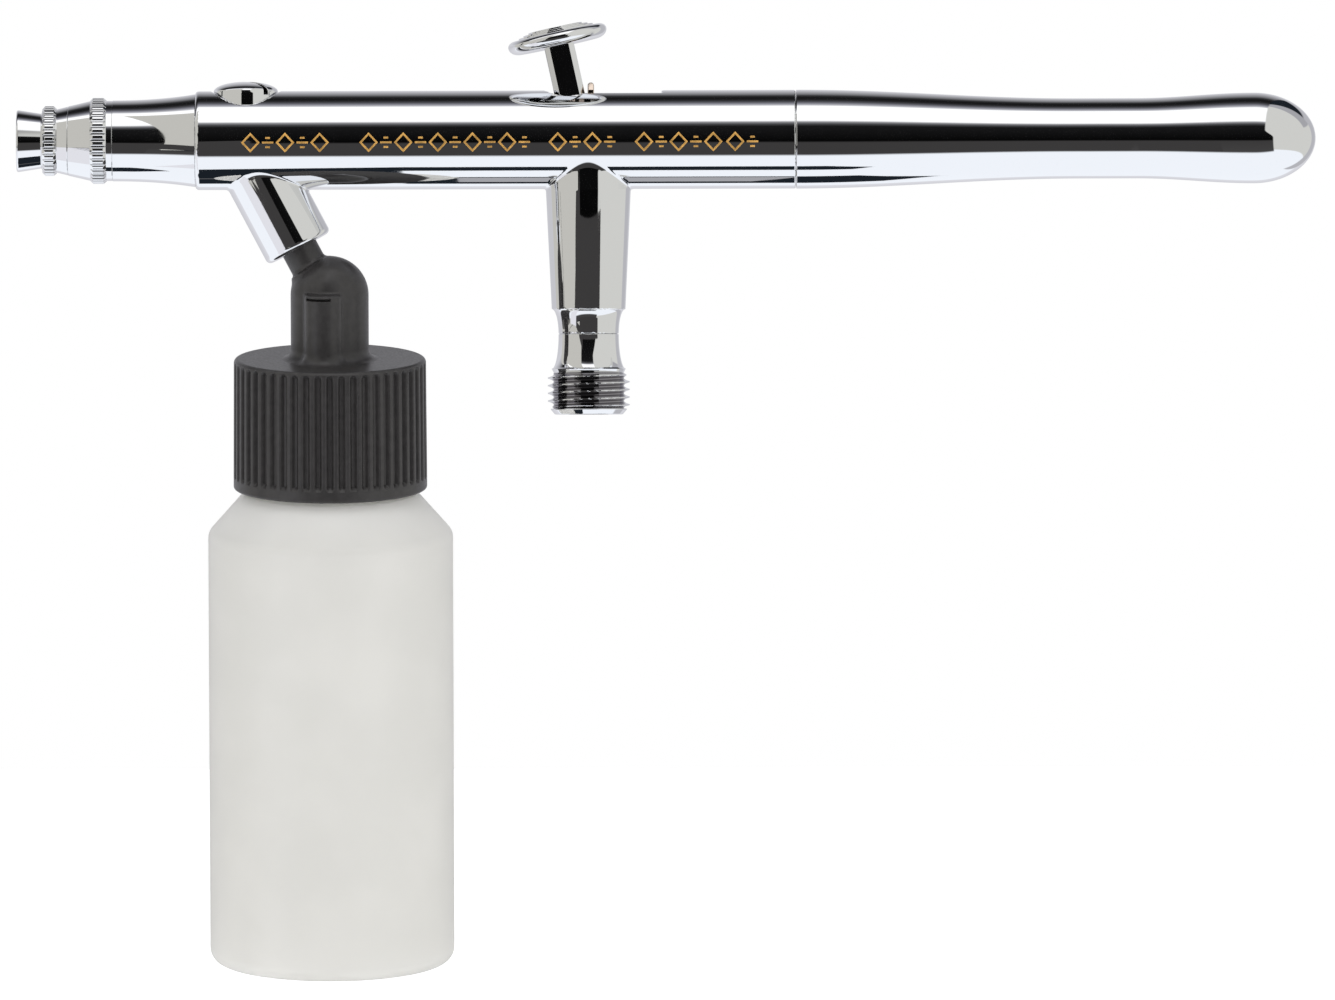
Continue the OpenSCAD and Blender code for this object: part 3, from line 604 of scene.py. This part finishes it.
def body_field(p):
    tube = p[..., [2, 1, 0]] - np.array((axis_z, 0, 0))
    around = np.hypot(p[..., 0], p[..., 1])
    z = p[..., 2]
    s = SOCKET.into(p)
    solid = rod(tube, TUBE_R, body_front, body_rear, 0.12)
    front_edge = np.hypot(np.maximum(np.hypot(tube[..., 0], tube[..., 1]) - TUBE_R + 0.4, 0),
                          np.maximum(body_front + 0.4 - p[..., 0], 0)) - 0.4
    solid = np.maximum(solid, front_edge)
    boss = smooth_max(around - boss_radius(z), np.maximum(BOSS_BOTTOM - z, z - axis_z + 2), 0.1)
    solid = smooth_min(solid, boss, 0.3)
    flat = np.hypot(s[..., 0], s[..., 1])
    spout = np.maximum(np.maximum(flat - SOCKET_R, s[..., 2] - SOCKET_L), -s[..., 2])
    rounded = np.hypot(np.maximum(flat - SOCKET_R + 0.6, 0), np.maximum(s[..., 2] - SOCKET_L + 0.6, 0)) - 0.6
    solid = smooth_min(solid, np.maximum(spout, rounded), 0.3)

    chamber_front, q = -7, PLUG.into(p)
    holes = (
        (tube, 2.55, body_front - 1, body_front + 3.4, 0.1),        # the head's thread
        (tube, 1.6, body_front, -35, 0.1),                          # the needle's passage
        (tube, 2.5, -36, chamber_front + 1, 0.1),                   # the packing and its screw
        (tube, 3.9, chamber_front, body_rear, 0.1),                 # the trigger's chamber
        (tube, 4.95, body_rear - 5.5, body_rear + 1, 0.08),         # the handle's thread
        (s, 1.3, 0, SOCKET_L + 1, 0.1),                             # the paint's passage
        (s, STEM_R + 0.06, SOCKET_L - 7, SOCKET_L + 1, 0.3),        # the socket
        (q, PLUG_RECESS_R, 2.9, 8, 0.3),                            # the plug screw's head
        (q, 2.25, 0, 6, 0.1),                                       # the plug screw's thread
        (p, 2, 18, axis_z, 0.1),                                    # the valve plunger
        (p, 2.5, trigger_pivot[2] - 0.8, axis_z, 0.1),              # the trigger's foot
        (p, 3.05, BOSS_BOTTOM - 1, 19, 0.1))                        # the air valve
    for place, radius, low, high, edge in holes:
        solid = smooth_max(solid, -rod(place, radius, low, high), edge)
    well_x, well_r, slot_rear, slot_half = -2.45, 2.6, 8.7, 1.85
    well = rod(p - np.array((well_x, 0, 0)), well_r, axis_z, axis_z + 8)
    slot = slab(p, ((slot_rear - well_x) / 2, slot_half, 4), ((slot_rear + well_x) / 2, 0, axis_z + 4))
    return smooth_max(solid, -smooth_min(well, slot, 0.3), 0.16)


def make_body():
    step, front, low = 0.225, body_front - 0.5, BOSS_BOTTOM - 0.5
    xs = grid_line(front, body_rear + 0.5, (front, -29.6), (-6, 9.6), (24.1, 26), step=step)
    ys = grid_line(-TUBE_R - 0.4, TUBE_R + 0.4, (-7, 7), step=step)
    zs = grid_line(low, axis_z + TUBE_R + 0.5, (low, 12.3), (16.4, 40), step=step, coarse=0.6)
    return add_piece("body_tube", *surface_net(body_field, xs, ys, zs))


# ---------------------------------------------------------------- engraved ornament, filled with gold

def make_ornament():
    """A chain of lozenges and dots in five groups, as thin strips lying on the tube."""
    lift, half_w, half_h, level = 0.012, 0.13, 1.02, -0.35
    groups = ((-41.0, 5), (-27.0, 10), (-4.6, 4), (5.6, 5), (16.4, 2))
    pitch, strokes = 2.05, []
    for start, count in groups:
        for i in range(count):
            x = start + pitch * i
            if i % 2:
                strokes.append([(x + 0.35, level), (x + pitch - 0.35, level)])
                for side in (1, -1):
                    y = level + side * 0.55
                    strokes.append([(x + 0.75, y), (x + pitch - 0.75, y)])
            else:
                m = x + pitch / 2
                strokes.append([(m - 0.95, level), (m, level + half_h), (m + 0.95, level),
                                (m, level - half_h), (m - 0.95, level)])
    points, faces = [], []
    for stroke in strokes:
        line = []
        for a, b in zip(stroke[:-1], stroke[1:]):
            a, b = np.array(a), np.array(b)
            line += [a + (b - a) * t for t in np.linspace(0, 1, 9)[:-1]]
        line = np.array(line + [np.array(stroke[-1])])
        closed = len(stroke) > 3
        ahead, behind = np.roll(line, -1, 0), np.roll(line, 1, 0)
        if closed:
            line, ahead, behind = line[:-1], np.roll(line[:-1], -1, 0), np.roll(line[:-1], 1, 0)
        else:
            ahead[-1], behind[0] = line[-1], line[0]
        into = (line - behind) / np.maximum(np.linalg.norm(line - behind, axis=1), 1e-9)[:, None]
        away = (ahead - line) / np.maximum(np.linalg.norm(ahead - line, axis=1), 1e-9)[:, None]
        along = into + away
        along /= np.linalg.norm(along, axis=1)[:, None]
        side = np.stack([-along[:, 1], along[:, 0]], 1)
        mitre = 1 / np.maximum(np.sqrt((1 + (into * away).sum(1)) / 2), 0.5)
        if not closed:
            mitre[0] = mitre[-1] = 1
        base, count = len(points), len(line)
        for p, s, m in zip(line, side, mitre):
            for across, height in ((-1, -0.03), (-0.8, lift), (0.8, lift), (1, -0.03)):
                flat = p + s * across * half_w * m
                turn = flat[1] / TUBE_R
                r = TUBE_R + height
                points.append((flat[0], -r * math.cos(turn), axis_z + r * math.sin(turn)))
        for i in range(count if closed else count - 1):
            a, b = base + i * 4, base + (i + 1) % count * 4
            faces += [[a + k, b + k, b + (k + 1) % 4, a + (k + 1) % 4] for k in range(4)]
        if not closed:
            last = base + (count - 1) * 4
            faces += [[base, base + 1, base + 2, base + 3], [last + 3, last + 2, last + 1, last]]
    return add_piece("gold_ornament", points, faces)


# ---------------------------------------------------------------- siphon cap and bottle

COLUMN_R, DOME_D, CAP_D, CAP_END_D = 4.63, -1.2, 6.4, 22.05
CAP_TOP_R, CAP_R, CAP_BORE_R = 11.4, 11.5, 9.4
LINER_D, NIPPLE_R, NIPPLE_END_D, DIP_R, DIP_TOP_D = 8.0, 2.7, 12.6, 1.52, 7.75
RIBS = 50


def cap_ribs(radius, along, angle):
    """Rounded ribs down the cap's side, with arched upper ends, over a plain band."""
    depth, top, foot = 0.5, CAP_D + 0.3, CAP_END_D - 1.5
    t = np.abs((angle * RIBS / TAU) % 1 - 0.5) * 2
    groove = np.clip((t - 0.4) / 0.28, 0, 1)
    arch = top + 0.7 * (1 - t) ** 2
    start = np.clip((along - arch) / 0.35, 0, 1)
    end = np.clip((foot - along) / 0.25, 0, 1)
    outside = radius > CAP_BORE_R + 1
    return np.where(outside, radius - depth * groove * start * end, radius)


def make_cap_skirt():
    points = outline(
        (0, CAP_D), (CAP_TOP_R, CAP_D, 0.5), (CAP_R, CAP_END_D, 0.35), (CAP_BORE_R, CAP_END_D, 0.2),
        (CAP_BORE_R, LINER_D), (NIPPLE_R, LINER_D), (NIPPLE_R, NIPPLE_END_D, 0.2), (DIP_R, NIPPLE_END_D),
        (DIP_R, DIP_TOP_D), (0, DIP_TOP_D))

    def outer(a, b):
        return min(a[0], b[0]) > CAP_BORE_R + 1.5

    points = with_steps(points, outer, 0.25)
    return tidy_lathe(*lathe_data(points, RIBS * 12, closed=False, shape=cap_ribs))


def column_field(p):
    x, y, d = p[..., 0], p[..., 1], p[..., 2]
    flat = np.hypot(x, y)
    column = np.where(d < DOME_D, np.sqrt(flat ** 2 + (d - DOME_D) ** 2), flat) - COLUMN_R
    s = SOCKET.into(BOTTLE.out(p))
    step_l = SOCKET_L + 2.7
    stem = rod(s, STEM_R, SOCKET_L - 6, elbow_l, 0.1)
    sleeve = rod(s, STEM_R + 0.35, step_l, elbow_l, 0.3)
    vent_x, vent_y, vent_r, vent_top = -0.56, -4.05, 2.3, -1.95
    vent = smooth_max(np.hypot(x - vent_x, y - vent_y) - vent_r, vent_top - d, 0.5)
    slit = slab(p, (1.5, 1.0, 0.12), (vent_x, vent_y - vent_r, vent_top + 0.5), 0.05)
    solid = smooth_min(smooth_min(column, np.minimum(stem, sleeve), 0.5), vent, 0.4)
    solid = smooth_max(solid, -slit, 0.08)
    top = CAP_D + 0.02 - d
    return smooth_max(smooth_min(solid, top, 1.5), np.maximum(d - CAP_D - 0.3, flat - 9), 0.05)


def make_siphon_cap():
    """The moulded stem, column and vent, and the screw cap under them, as one piece."""
    xs = grid_line(-9.3, 9.3, (-10, 10), step=0.2)
    ds = grid_line(-10.5, CAP_D + 0.7, (-11, 8), step=0.2)
    column = surface_net(column_field, xs, xs, ds)
    return joined("siphon_cap_shell", column, make_cap_skirt(), place=BOTTLE)


SHOULDER_D = (CAP_END_D + 0.4, CAP_END_D + 4.7)
BOTTLE_R, BOTTLE_END_D, WALL, NECK_R = 14.55, 79.25, 1.1, 9.32


def make_bottle():
    r, end, inner, neck_top = BOTTLE_R, BOTTLE_END_D, BOTTLE_R - WALL, LINER_D + 0.92
    high, low = SHOULDER_D
    outside = outline(
        (NECK_R, neck_top, 0.1), (NECK_R, high - 0.4, 0.15), (NECK_R + 1.0, high + 0.1, 0.5),
        (r, low + 0.6, 1.7), (r, end, 1.8), (r - 5, end, 1), (r - 6.5, end - 0.5, 1), (0, end - 0.7))
    inside = outline(
        (0, end - 0.7 - WALL), (inner - 3, end - WALL, 1), (inner, end - WALL, 1.4),
        (inner, low + 1.2, 1.4), (NECK_R - 1.5, high + WALL, 0.8), (NECK_R - 1.5, neck_top))
    return lathe("bottle_shell", np.concatenate([outside, inside]), BOTTLE, 256)


# ---------------------------------------------------------------- materials

class Nodes:
    """Short calls for wiring a node tree. An argument is a socket or a constant."""

    def __init__(self, tree):
        self.tree = tree

    def add(self, kind, **settings):
        node = self.tree.nodes.new(kind)
        for key, value in settings.items():
            setattr(node, key, value)
        return node

    def wire(self, socket, value):
        if isinstance(value, bpy.types.NodeSocket):
            self.tree.links.new(value, socket)
        else:
            socket.default_value = value

    def axes(self, coordinate="Object"):
        split = self.add("ShaderNodeSeparateXYZ")
        self.wire(split.inputs[0], self.add("ShaderNodeTexCoord").outputs[coordinate])
        return split.outputs

    def math(self, operation, *values, clamp=False):
        node = self.add("ShaderNodeMath", operation=operation, use_clamp=clamp)
        for socket, value in zip(node.inputs, values):
            self.wire(socket, value)
        return node.outputs[0]

    def mix(self, share, a, b):
        node = self.add("ShaderNodeMix", data_type="RGBA")
        self.wire(node.inputs["Factor"], share)
        self.wire(node.inputs["A"], a)
        self.wire(node.inputs["B"], b)
        return node.outputs["Result"]

    def ease(self, value, low, high, to_low=0.0, to_high=1.0):
        node = self.add("ShaderNodeMapRange", interpolation_type="SMOOTHSTEP")
        for key, number in (("From Min", low), ("From Max", high), ("To Min", to_low), ("To Max", to_high)):
            node.inputs[key].default_value = number
        self.wire(node.inputs["Value"], value)
        return node.outputs[0]

    def noise(self, size_mm, detail=3.0, stretch=(1, 1, 1)):
        place = self.add("ShaderNodeTexCoord").outputs["Object"]
        mapping = self.add("ShaderNodeMapping")
        mapping.inputs["Scale"].default_value = stretch
        self.wire(mapping.inputs["Vector"], place)
        node = self.add("ShaderNodeTexNoise")
        self.wire(node.inputs["Vector"], mapping.outputs[0])
        node.inputs["Scale"].default_value = 1 / (size_mm * MM)
        node.inputs["Detail"].default_value = detail
        return node.outputs["Fac"]

    def bump(self, height, strength, distance_mm):
        node = self.add("ShaderNodeBump")
        node.inputs["Strength"].default_value = strength
        node.inputs["Distance"].default_value = distance_mm * MM
        self.wire(node.inputs["Height"], height)
        return node.outputs[0]


def rgba(r, g, b):
    return (r, g, b, 1.0)


def principled(name, color, **settings):
    """A material with constant values, and its Nodes helper and shader for adding detail."""
    material = bpy.data.materials.new(name)
    material.use_nodes = True
    shader = material.node_tree.nodes["Principled BSDF"]
    shader.inputs["Base Color"].default_value = rgba(*color)
    for key, value in settings.items():
        shader.inputs[key.replace("_", " ")].default_value = value
    return material, Nodes(material.node_tree), shader


# ROOT_PAINTED_SHADE is painted shade: the darker colour given to the thread roots
CHROME, ROOT_PAINTED_SHADE = (0.86, 0.865, 0.875), (0.3, 0.29, 0.31)


def make_chrome():
    material, n, shader = principled("chrome_plate", CHROME, Metallic=1.0)
    n.wire(shader.inputs["Roughness"], n.ease(n.noise(2.2), 0.35, 0.75, 0.022, 0.05))
    n.wire(shader.inputs["Normal"], n.bump(n.noise(3.5, 1.0), 0.12, 0.02))
    return material


def make_threaded_chrome():
    """Chrome with painted shade: a darker base colour in the thread roots."""
    material, n, shader = principled("threaded_chrome", CHROME, Metallic=1.0, Roughness=0.04)
    x, y, z = n.axes()
    radius = n.math("SQRT", n.math("ADD", n.math("MULTIPLY", x, x), n.math("MULTIPLY", y, y)))
    # Painted shade: the base colour turns darker towards the thread roots, between the thread's ends
    root_shade = n.ease(radius, (THREAD_ROOT_R + 0.2) * MM, (THREAD_ROOT_R + 0.4) * MM, 1, 0)
    root_shade = n.math("MULTIPLY", root_shade, n.ease(z, THREAD_TOP * MM, (THREAD_TOP + 0.05) * MM, 1, 0))
    root_shade = n.math("MULTIPLY", root_shade, n.ease(z, 0, 0.05 * MM))
    n.wire(shader.inputs["Base Color"], n.mix(root_shade, rgba(*CHROME), rgba(*ROOT_PAINTED_SHADE)))
    return material


def make_steel(name, color, roughness, turned_mm=0.12):
    """Bare metal with fine turning lines."""
    material, n, shader = principled(name, color, Metallic=1.0)
    lines = n.noise(turned_mm, 2.0, (1, 0.05, 0.05))
    n.wire(shader.inputs["Roughness"], n.ease(lines, 0.3, 0.7, roughness * 0.7, roughness * 1.3))
    n.wire(shader.inputs["Normal"], n.bump(lines, 0.08, 0.01))
    return material


def make_plain(name, color, roughness, grain_mm=0.3, depth_mm=0.01, spread=0.12, **settings):
    """Plastic or rubber with a fine moulded grain and slight variation of colour."""
    material, n, shader = principled(name, color, Roughness=roughness, **settings)
    light = rgba(*[min(1, c * (1 + spread)) for c in color])
    dark = rgba(*[c * (1 - spread) for c in color])
    cloud, grain = n.noise(grain_mm * 6), n.noise(grain_mm * 2)
    n.wire(shader.inputs["Base Color"], n.mix(n.ease(cloud, 0.3, 0.7), dark, light))
    n.wire(shader.inputs["Roughness"], n.ease(grain, 0.3, 0.7, roughness * 0.88, roughness * 1.1))
    n.wire(shader.inputs["Normal"], n.bump(n.noise(grain_mm, 2.0), 0.35, depth_mm))
    return material


def make_bottle_material():
    """Milky polyethylene: half of the light scatters back, half passes through the thin wall."""
    material, n, shader = principled("bottle_plastic", (0.86, 0.86, 0.835), Roughness=0.38, Coat_Weight=0.6,
                                     Coat_Roughness=0.12)
    output = material.node_tree.nodes["Material Output"]
    cloud = n.mix(n.ease(n.noise(9, 2.0), 0.35, 0.7), rgba(0.838, 0.835, 0.81), rgba(0.885, 0.88, 0.855))
    # Painted light: the base colour turns almost white above the shoulder's lower edge, lifting the shade under
    # the cap and making a highlight along the shoulder
    edge_z = BOTTLE.out(np.array((0, 0, SHOULDER_D[1])))[2]
    painted_shoulder_light = n.ease(n.axes()[2], (edge_z - 3) * MM, (edge_z + 1.5) * MM)
    n.wire(shader.inputs["Base Color"], n.mix(painted_shoulder_light, cloud, rgba(0.96, 0.96, 0.945)))
    n.wire(shader.inputs["Normal"], n.bump(n.noise(6, 1.0, (1, 1, 0.5)), 0.15, 0.1))
    through = n.add("ShaderNodeBsdfTranslucent")
    through.inputs["Color"].default_value = rgba(0.93, 0.925, 0.905)
    mixed = n.add("ShaderNodeMixShader")
    mixed.inputs[0].default_value = 0.5
    n.wire(mixed.inputs[1], shader.outputs[0])
    n.wire(mixed.inputs[2], through.outputs[0])
    n.wire(output.inputs["Surface"], mixed.outputs[0])
    return material


MATERIALS = {
    "chrome_plate": make_chrome(),
    "stainless_steel": make_steel("stainless_steel", (0.68, 0.66, 0.62), 0.16),
    "spring_steel": make_steel("spring_steel", (0.5, 0.5, 0.52), 0.25),
    "brass": make_steel("brass", (0.8, 0.6, 0.3), 0.22),
    "ptfe": make_plain("ptfe", (0.9, 0.9, 0.88), 0.45),
    "nitrile_rubber": make_plain("nitrile_rubber", (0.02, 0.02, 0.02), 0.6),
    "cap_plastic": make_plain("cap_plastic", (0.031, 0.029, 0.029), 0.36, 0.14, 0.014, 0.12),
    "bottle_plastic": make_bottle_material(),
}
bronze = make_steel("tinted_steel", (0.74, 0.62, 0.53), 0.1)
gold = make_plain("gold_fill", (0.75, 0.42, 0.11), 0.42, 0.2, 0.01, 0.25, Metallic=0.55)


def finish_piece(obj, body, slot, material=None, replaced=()):
    """Gives a piece its material, the body that it moves with and the CAD nodes it stands in for."""
    obj.data.materials.clear()
    obj.data.materials.append(material or MATERIALS[slot])
    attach(obj, body)
    if replaced:
        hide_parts(*replaced)


slots = {part["node"]: part["material_slot"] for part in frame["record"]["subparts"]}
for node, obj in frame["nodes"].items():
    obj.data.materials.clear()
    obj.data.materials.append(MATERIALS[slots[node]])

finish_piece(make_body(), "airbrush_body", "chrome_plate", replaced=["body"])
finish_piece(make_head(), "airbrush_body", "chrome_plate", replaced=["head"])
finish_piece(make_ornament(), "airbrush_body", "brass", gold)
finish_piece(make_plug(), "airbrush_body", "chrome_plate", replaced=["plug_screw"])
finish_piece(make_air_valve_body(), "airbrush_body", "chrome_plate", make_threaded_chrome(),
             replaced=["air_valve_body"])
finish_piece(make_needle_cap(), "needle_cap", "chrome_plate", replaced=["needle_cap"])
finish_piece(make_nozzle_cap(), "nozzle_cap", "chrome_plate", replaced=["nozzle_cap"])
finish_piece(make_handle(), "handle", "chrome_plate", replaced=["handle"])
finish_piece(make_trigger(), "trigger", "chrome_plate", replaced=["trigger"])
finish_piece(make_lever(), "auxiliary_lever", "stainless_steel", bronze, replaced=["auxiliary_lever"])
finish_piece(make_siphon_cap(), "siphon", "cap_plastic", replaced=["siphon_cap"])
finish_piece(make_bottle(), "bottle", "bottle_plastic", replaced=["bottle"])


# ---------------------------------------------------------------- studio

def grey(value, blue=1.06):
    return rgba(value, value, value * blue)


WHITE, PALE = grey(1.25, 1.0), rgba(1.0, 1.035, 1.095)
LEFT_BEIGE, RIGHT_BEIGE = rgba(0.60, 0.59, 0.55), rgba(0.70, 0.70, 0.67)
BLACK, SOOT, NAVY = rgba(0.002, 0.002, 0.002), rgba(0.05, 0.048, 0.048), rgba(0.012, 0.016, 0.022)
# What a long level tube reflects, by the angle about the X axis: 0 is towards the camera and 90 is up
TUBE_SHADES = (
    (-180, grey(0.62)), (-142, grey(0.8)), (-139, PALE), (-41, PALE), (-37, rgba(0.062, 0.06, 0.06)),
    (-9, SOOT), (-6, BLACK), (30, grey(0.01)), (35, grey(0.07)), (40, grey(0.3)), (44, WHITE),
    (83, WHITE), (86, grey(0.6)), (91, grey(0.28, 1.15)), (97, grey(0.09, 1.15)), (104, grey(0.02)),
    (113, grey(0.008)), (122, grey(0.035)), (133, grey(0.26)), (147, grey(0.48)), (166, grey(0.7)),
    (180, grey(0.62)))


def add_world():
    """Soft studio light: a banded surround that only reflections see, and plain white behind."""
    world = bpy.data.worlds.new("studio")
    bpy.context.scene.world = world
    world.use_nodes = True
    n = Nodes(world.node_tree)
    background = world.node_tree.nodes["Background"]
    x, y, z = n.axes("Generated")
    toward = n.math("MULTIPLY", y, -1.0)
    degrees = 180 / math.pi
    around = n.math("MULTIPLY", n.math("ARCTAN2", z, toward), degrees)
    azimuth = n.math("MULTIPLY", n.math("ARCTAN2", x, toward), degrees)
    up = n.math("MULTIPLY", n.math("ARCSINE", z), degrees)
    aside = n.math("MULTIPLY", n.math("ARCSINE", x), degrees)

    shades = n.add("ShaderNodeValToRGB")
    ramp = shades.color_ramp
    ramp.elements.remove(ramp.elements[1])
    ramp.elements[0].position, ramp.elements[0].color = 0.0, TUBE_SHADES[0][1]
    for place, color in TUBE_SHADES[1:]:
        ramp.elements.new((place + 180) / 360).color = color
    n.wire(shades.inputs["Fac"], n.math("DIVIDE", n.math("ADD", around, 180.0), 360.0))
    tube = shades.outputs["Color"]

    # Beige walls left and right, pale below them, with a grey shelf high on the right
    left = n.mix(n.ease(up, -20, -18), PALE, LEFT_BEIGE)
    right = n.mix(n.ease(up, -31, -29), PALE, RIGHT_BEIGE)
    left = n.mix(n.ease(up, 58, 60), left, WHITE)
    side = n.mix(n.ease(aside, -10, 10), left, right)
    shelf = n.math("MULTIPLY", n.ease(up, 19, 22), n.ease(azimuth, 95, 99))
    side = n.mix(shelf, side, grey(0.42))
    # The far side, and a narrow dark post at the left
    behind = n.mix(n.math("MULTIPLY", n.ease(up, 28, 34), n.ease(aside, 0, 5)), grey(0.52), NAVY)
    side = n.mix(n.ease(n.math("ABSOLUTE", azimuth), 122, 128), side, behind)
    line = n.math("MULTIPLY", n.ease(azimuth, -98, -97), n.ease(azimuth, -92, -91, 1, 0))
    line = n.math("MULTIPLY", line, n.ease(n.math("ABSOLUTE", up), 14, 18, 1, 0))
    side = n.mix(line, side, NAVY)
    # Where the walls take over from the tube's bands
    slant = n.math("ADD", aside, n.math("MULTIPLY", n.ease(up, 0, 20), 12.0))
    sideways = n.math("MAXIMUM", n.ease(slant, 26, 28), n.ease(aside, -60, -58, 1, 0))
    bands = n.mix(sideways, tube, side)

    soft = n.mix(n.ease(z, -1, 1), rgba(0.5, 0.5, 0.51), rgba(0.85, 0.85, 0.86))
    path = n.add("ShaderNodeLightPath")
    light = n.mix(path.outputs["Is Glossy Ray"], soft, bands)
    light = n.mix(path.outputs["Is Camera Ray"], light, rgba(1, 1, 1))
    n.wire(background.inputs["Color"], light)


def add_card(name, corners, color):
    """A flat card that only reflections see, from its corners in mm."""
    card = add_piece(name, corners, [list(range(len(corners)))])
    material = bpy.data.materials.new(name)
    material.use_nodes = True
    n = Nodes(material.node_tree)
    glow = n.add("ShaderNodeEmission")
    glow.inputs["Color"].default_value = color
    n.wire(material.node_tree.nodes["Material Output"].inputs["Surface"], glow.outputs[0])
    card.data.materials.append(material)
    for kind in ("camera", "diffuse", "transmission", "shadow", "volume_scatter"):
        setattr(card, "visible_" + kind, False)


def add_floor(z):
    half = 2500
    material, _, shader = principled("floor", (0.9, 0.9, 0.9), Roughness=0.9)
    shader.inputs["Emission Color"].default_value = rgba(1, 1, 1)
    shader.inputs["Emission Strength"].default_value = 0.45
    corners = [(-half, -half, z), (half, -half, z), (half, half, z), (-half, half, z)]
    floor = add_piece("floor", corners, [[0, 1, 2, 3]])
    floor.data.materials.append(material)
    floor.visible_glossy = False


def add_light(name, place, target, size, watts):
    """A square area light, its size in metres, that reflections don't see."""
    light = bpy.data.lights.new(name, "AREA")
    light.size, light.energy = size, watts
    obj = bpy.data.objects.new(name, light)
    bpy.context.scene.collection.objects.link(obj)
    obj.location = Vector(place) * MM
    obj.rotation_euler = (Vector(target) * MM - obj.location).to_track_quat("-Z", "Y").to_euler()
    obj.visible_glossy = False


def add_camera():
    """Level, square to the airbrush, at the photographed framing."""
    distance, frame_w, roll = 2400, 158.4, math.radians(0.15)
    low, high = np.array(cad_box[0]) / MM, np.array(cad_box[1]) / MM
    aim = np.array(((low[0] + high[0]) / 2 + 0.05, 0, (low[2] + high[2]) / 2 + 0.06))
    data = bpy.data.cameras.new("camera")
    data.sensor_width = 36
    data.lens = data.sensor_width * distance / frame_w
    data.clip_start, data.clip_end = 0.05, 20
    camera = bpy.data.objects.new("camera", data)
    bpy.context.scene.collection.objects.link(camera)
    camera.location = Vector((aim[0], aim[1] - distance, aim[2])) * MM
    camera.rotation_euler = (math.radians(90), roll, 0)
    bpy.context.scene.camera = camera


FLOOR_GAP = 8
WALL_Y, WALL_X, UNDER_Z, FAR = -161, -84, axis_z - 150, 1500

add_world()
add_floor(np.array(cad_box[0])[2] / MM - FLOOR_GAP)


def add_wall_card(name, low, high, color):
    """A card in front and to the left, between two levels above the tube's axis."""
    low, high = axis_z + low, axis_z + high
    add_card(name, [(WALL_X, WALL_Y, low), (WALL_X, WALL_Y, high),
                    (-FAR, WALL_Y, high), (-FAR, WALL_Y, low)], color)


def add_under_card(name, corners, color, lift=0):
    """A level card under the airbrush, from (x, y) corners."""
    add_card(name, [(x, y, UNDER_Z + lift) for x, y in corners], color)


add_wall_card("left_wall", -79, 560, LEFT_BEIGE)
add_wall_card("left_wall_foot", -85, -79, NAVY)
add_card("left_front", [(-111, -100, -10), (-125, -100, -15), (-300, -100, -50), (-300, -100, -400),
                        (-111, -100, -400)], grey(0.86))
add_card("front_dark", [(-67, -99, -40), (67, -99, -40), (67, -99, 15), (-67, -99, 15)], SOOT)
add_card("left_dark", [(-42, -100, 30), (-74, -100, 12), (-80, -100, 7), (-98, -100, 0), (-101, -100, -4),
                       (-116, -100, -10), (-118, -100, -36), (-42, -100, 3)], SOOT)
add_under_card("under_block", [(-54, -48), (-24, -66), (-24, 90), (-54, 90)], NAVY)
add_under_card("under_front", [(-24, -66), (34, -66), (45.5, -52), (40, -36), (-24, -36)], NAVY)
add_under_card("under_back", [(-24, 18), (40, 18), (53, 60), (44, 101), (-24, 101)], NAVY)
add_under_card("under_insert", [(-17, 24), (26, 24), (20, 73), (-17, 73)], grey(0.42), 1)
add_under_card("under_head", [(-54, -21), (-54, 21), (-64, 21), (-75, 0), (-64, -21)], NAVY)
add_under_card("under_streak", [(-54, 24), (-24, 24), (-24, 31), (-54, 31)], grey(0.11), 1)
add_light("key", (-150, -500, 650), (0, 0, 0), 0.5, 1.2)
add_light("fill", (500, -700, 200), (0, 0, 0), 0.6, 0.6)
add_camera()

scene = bpy.context.scene
scene.view_settings.view_transform = "Standard"
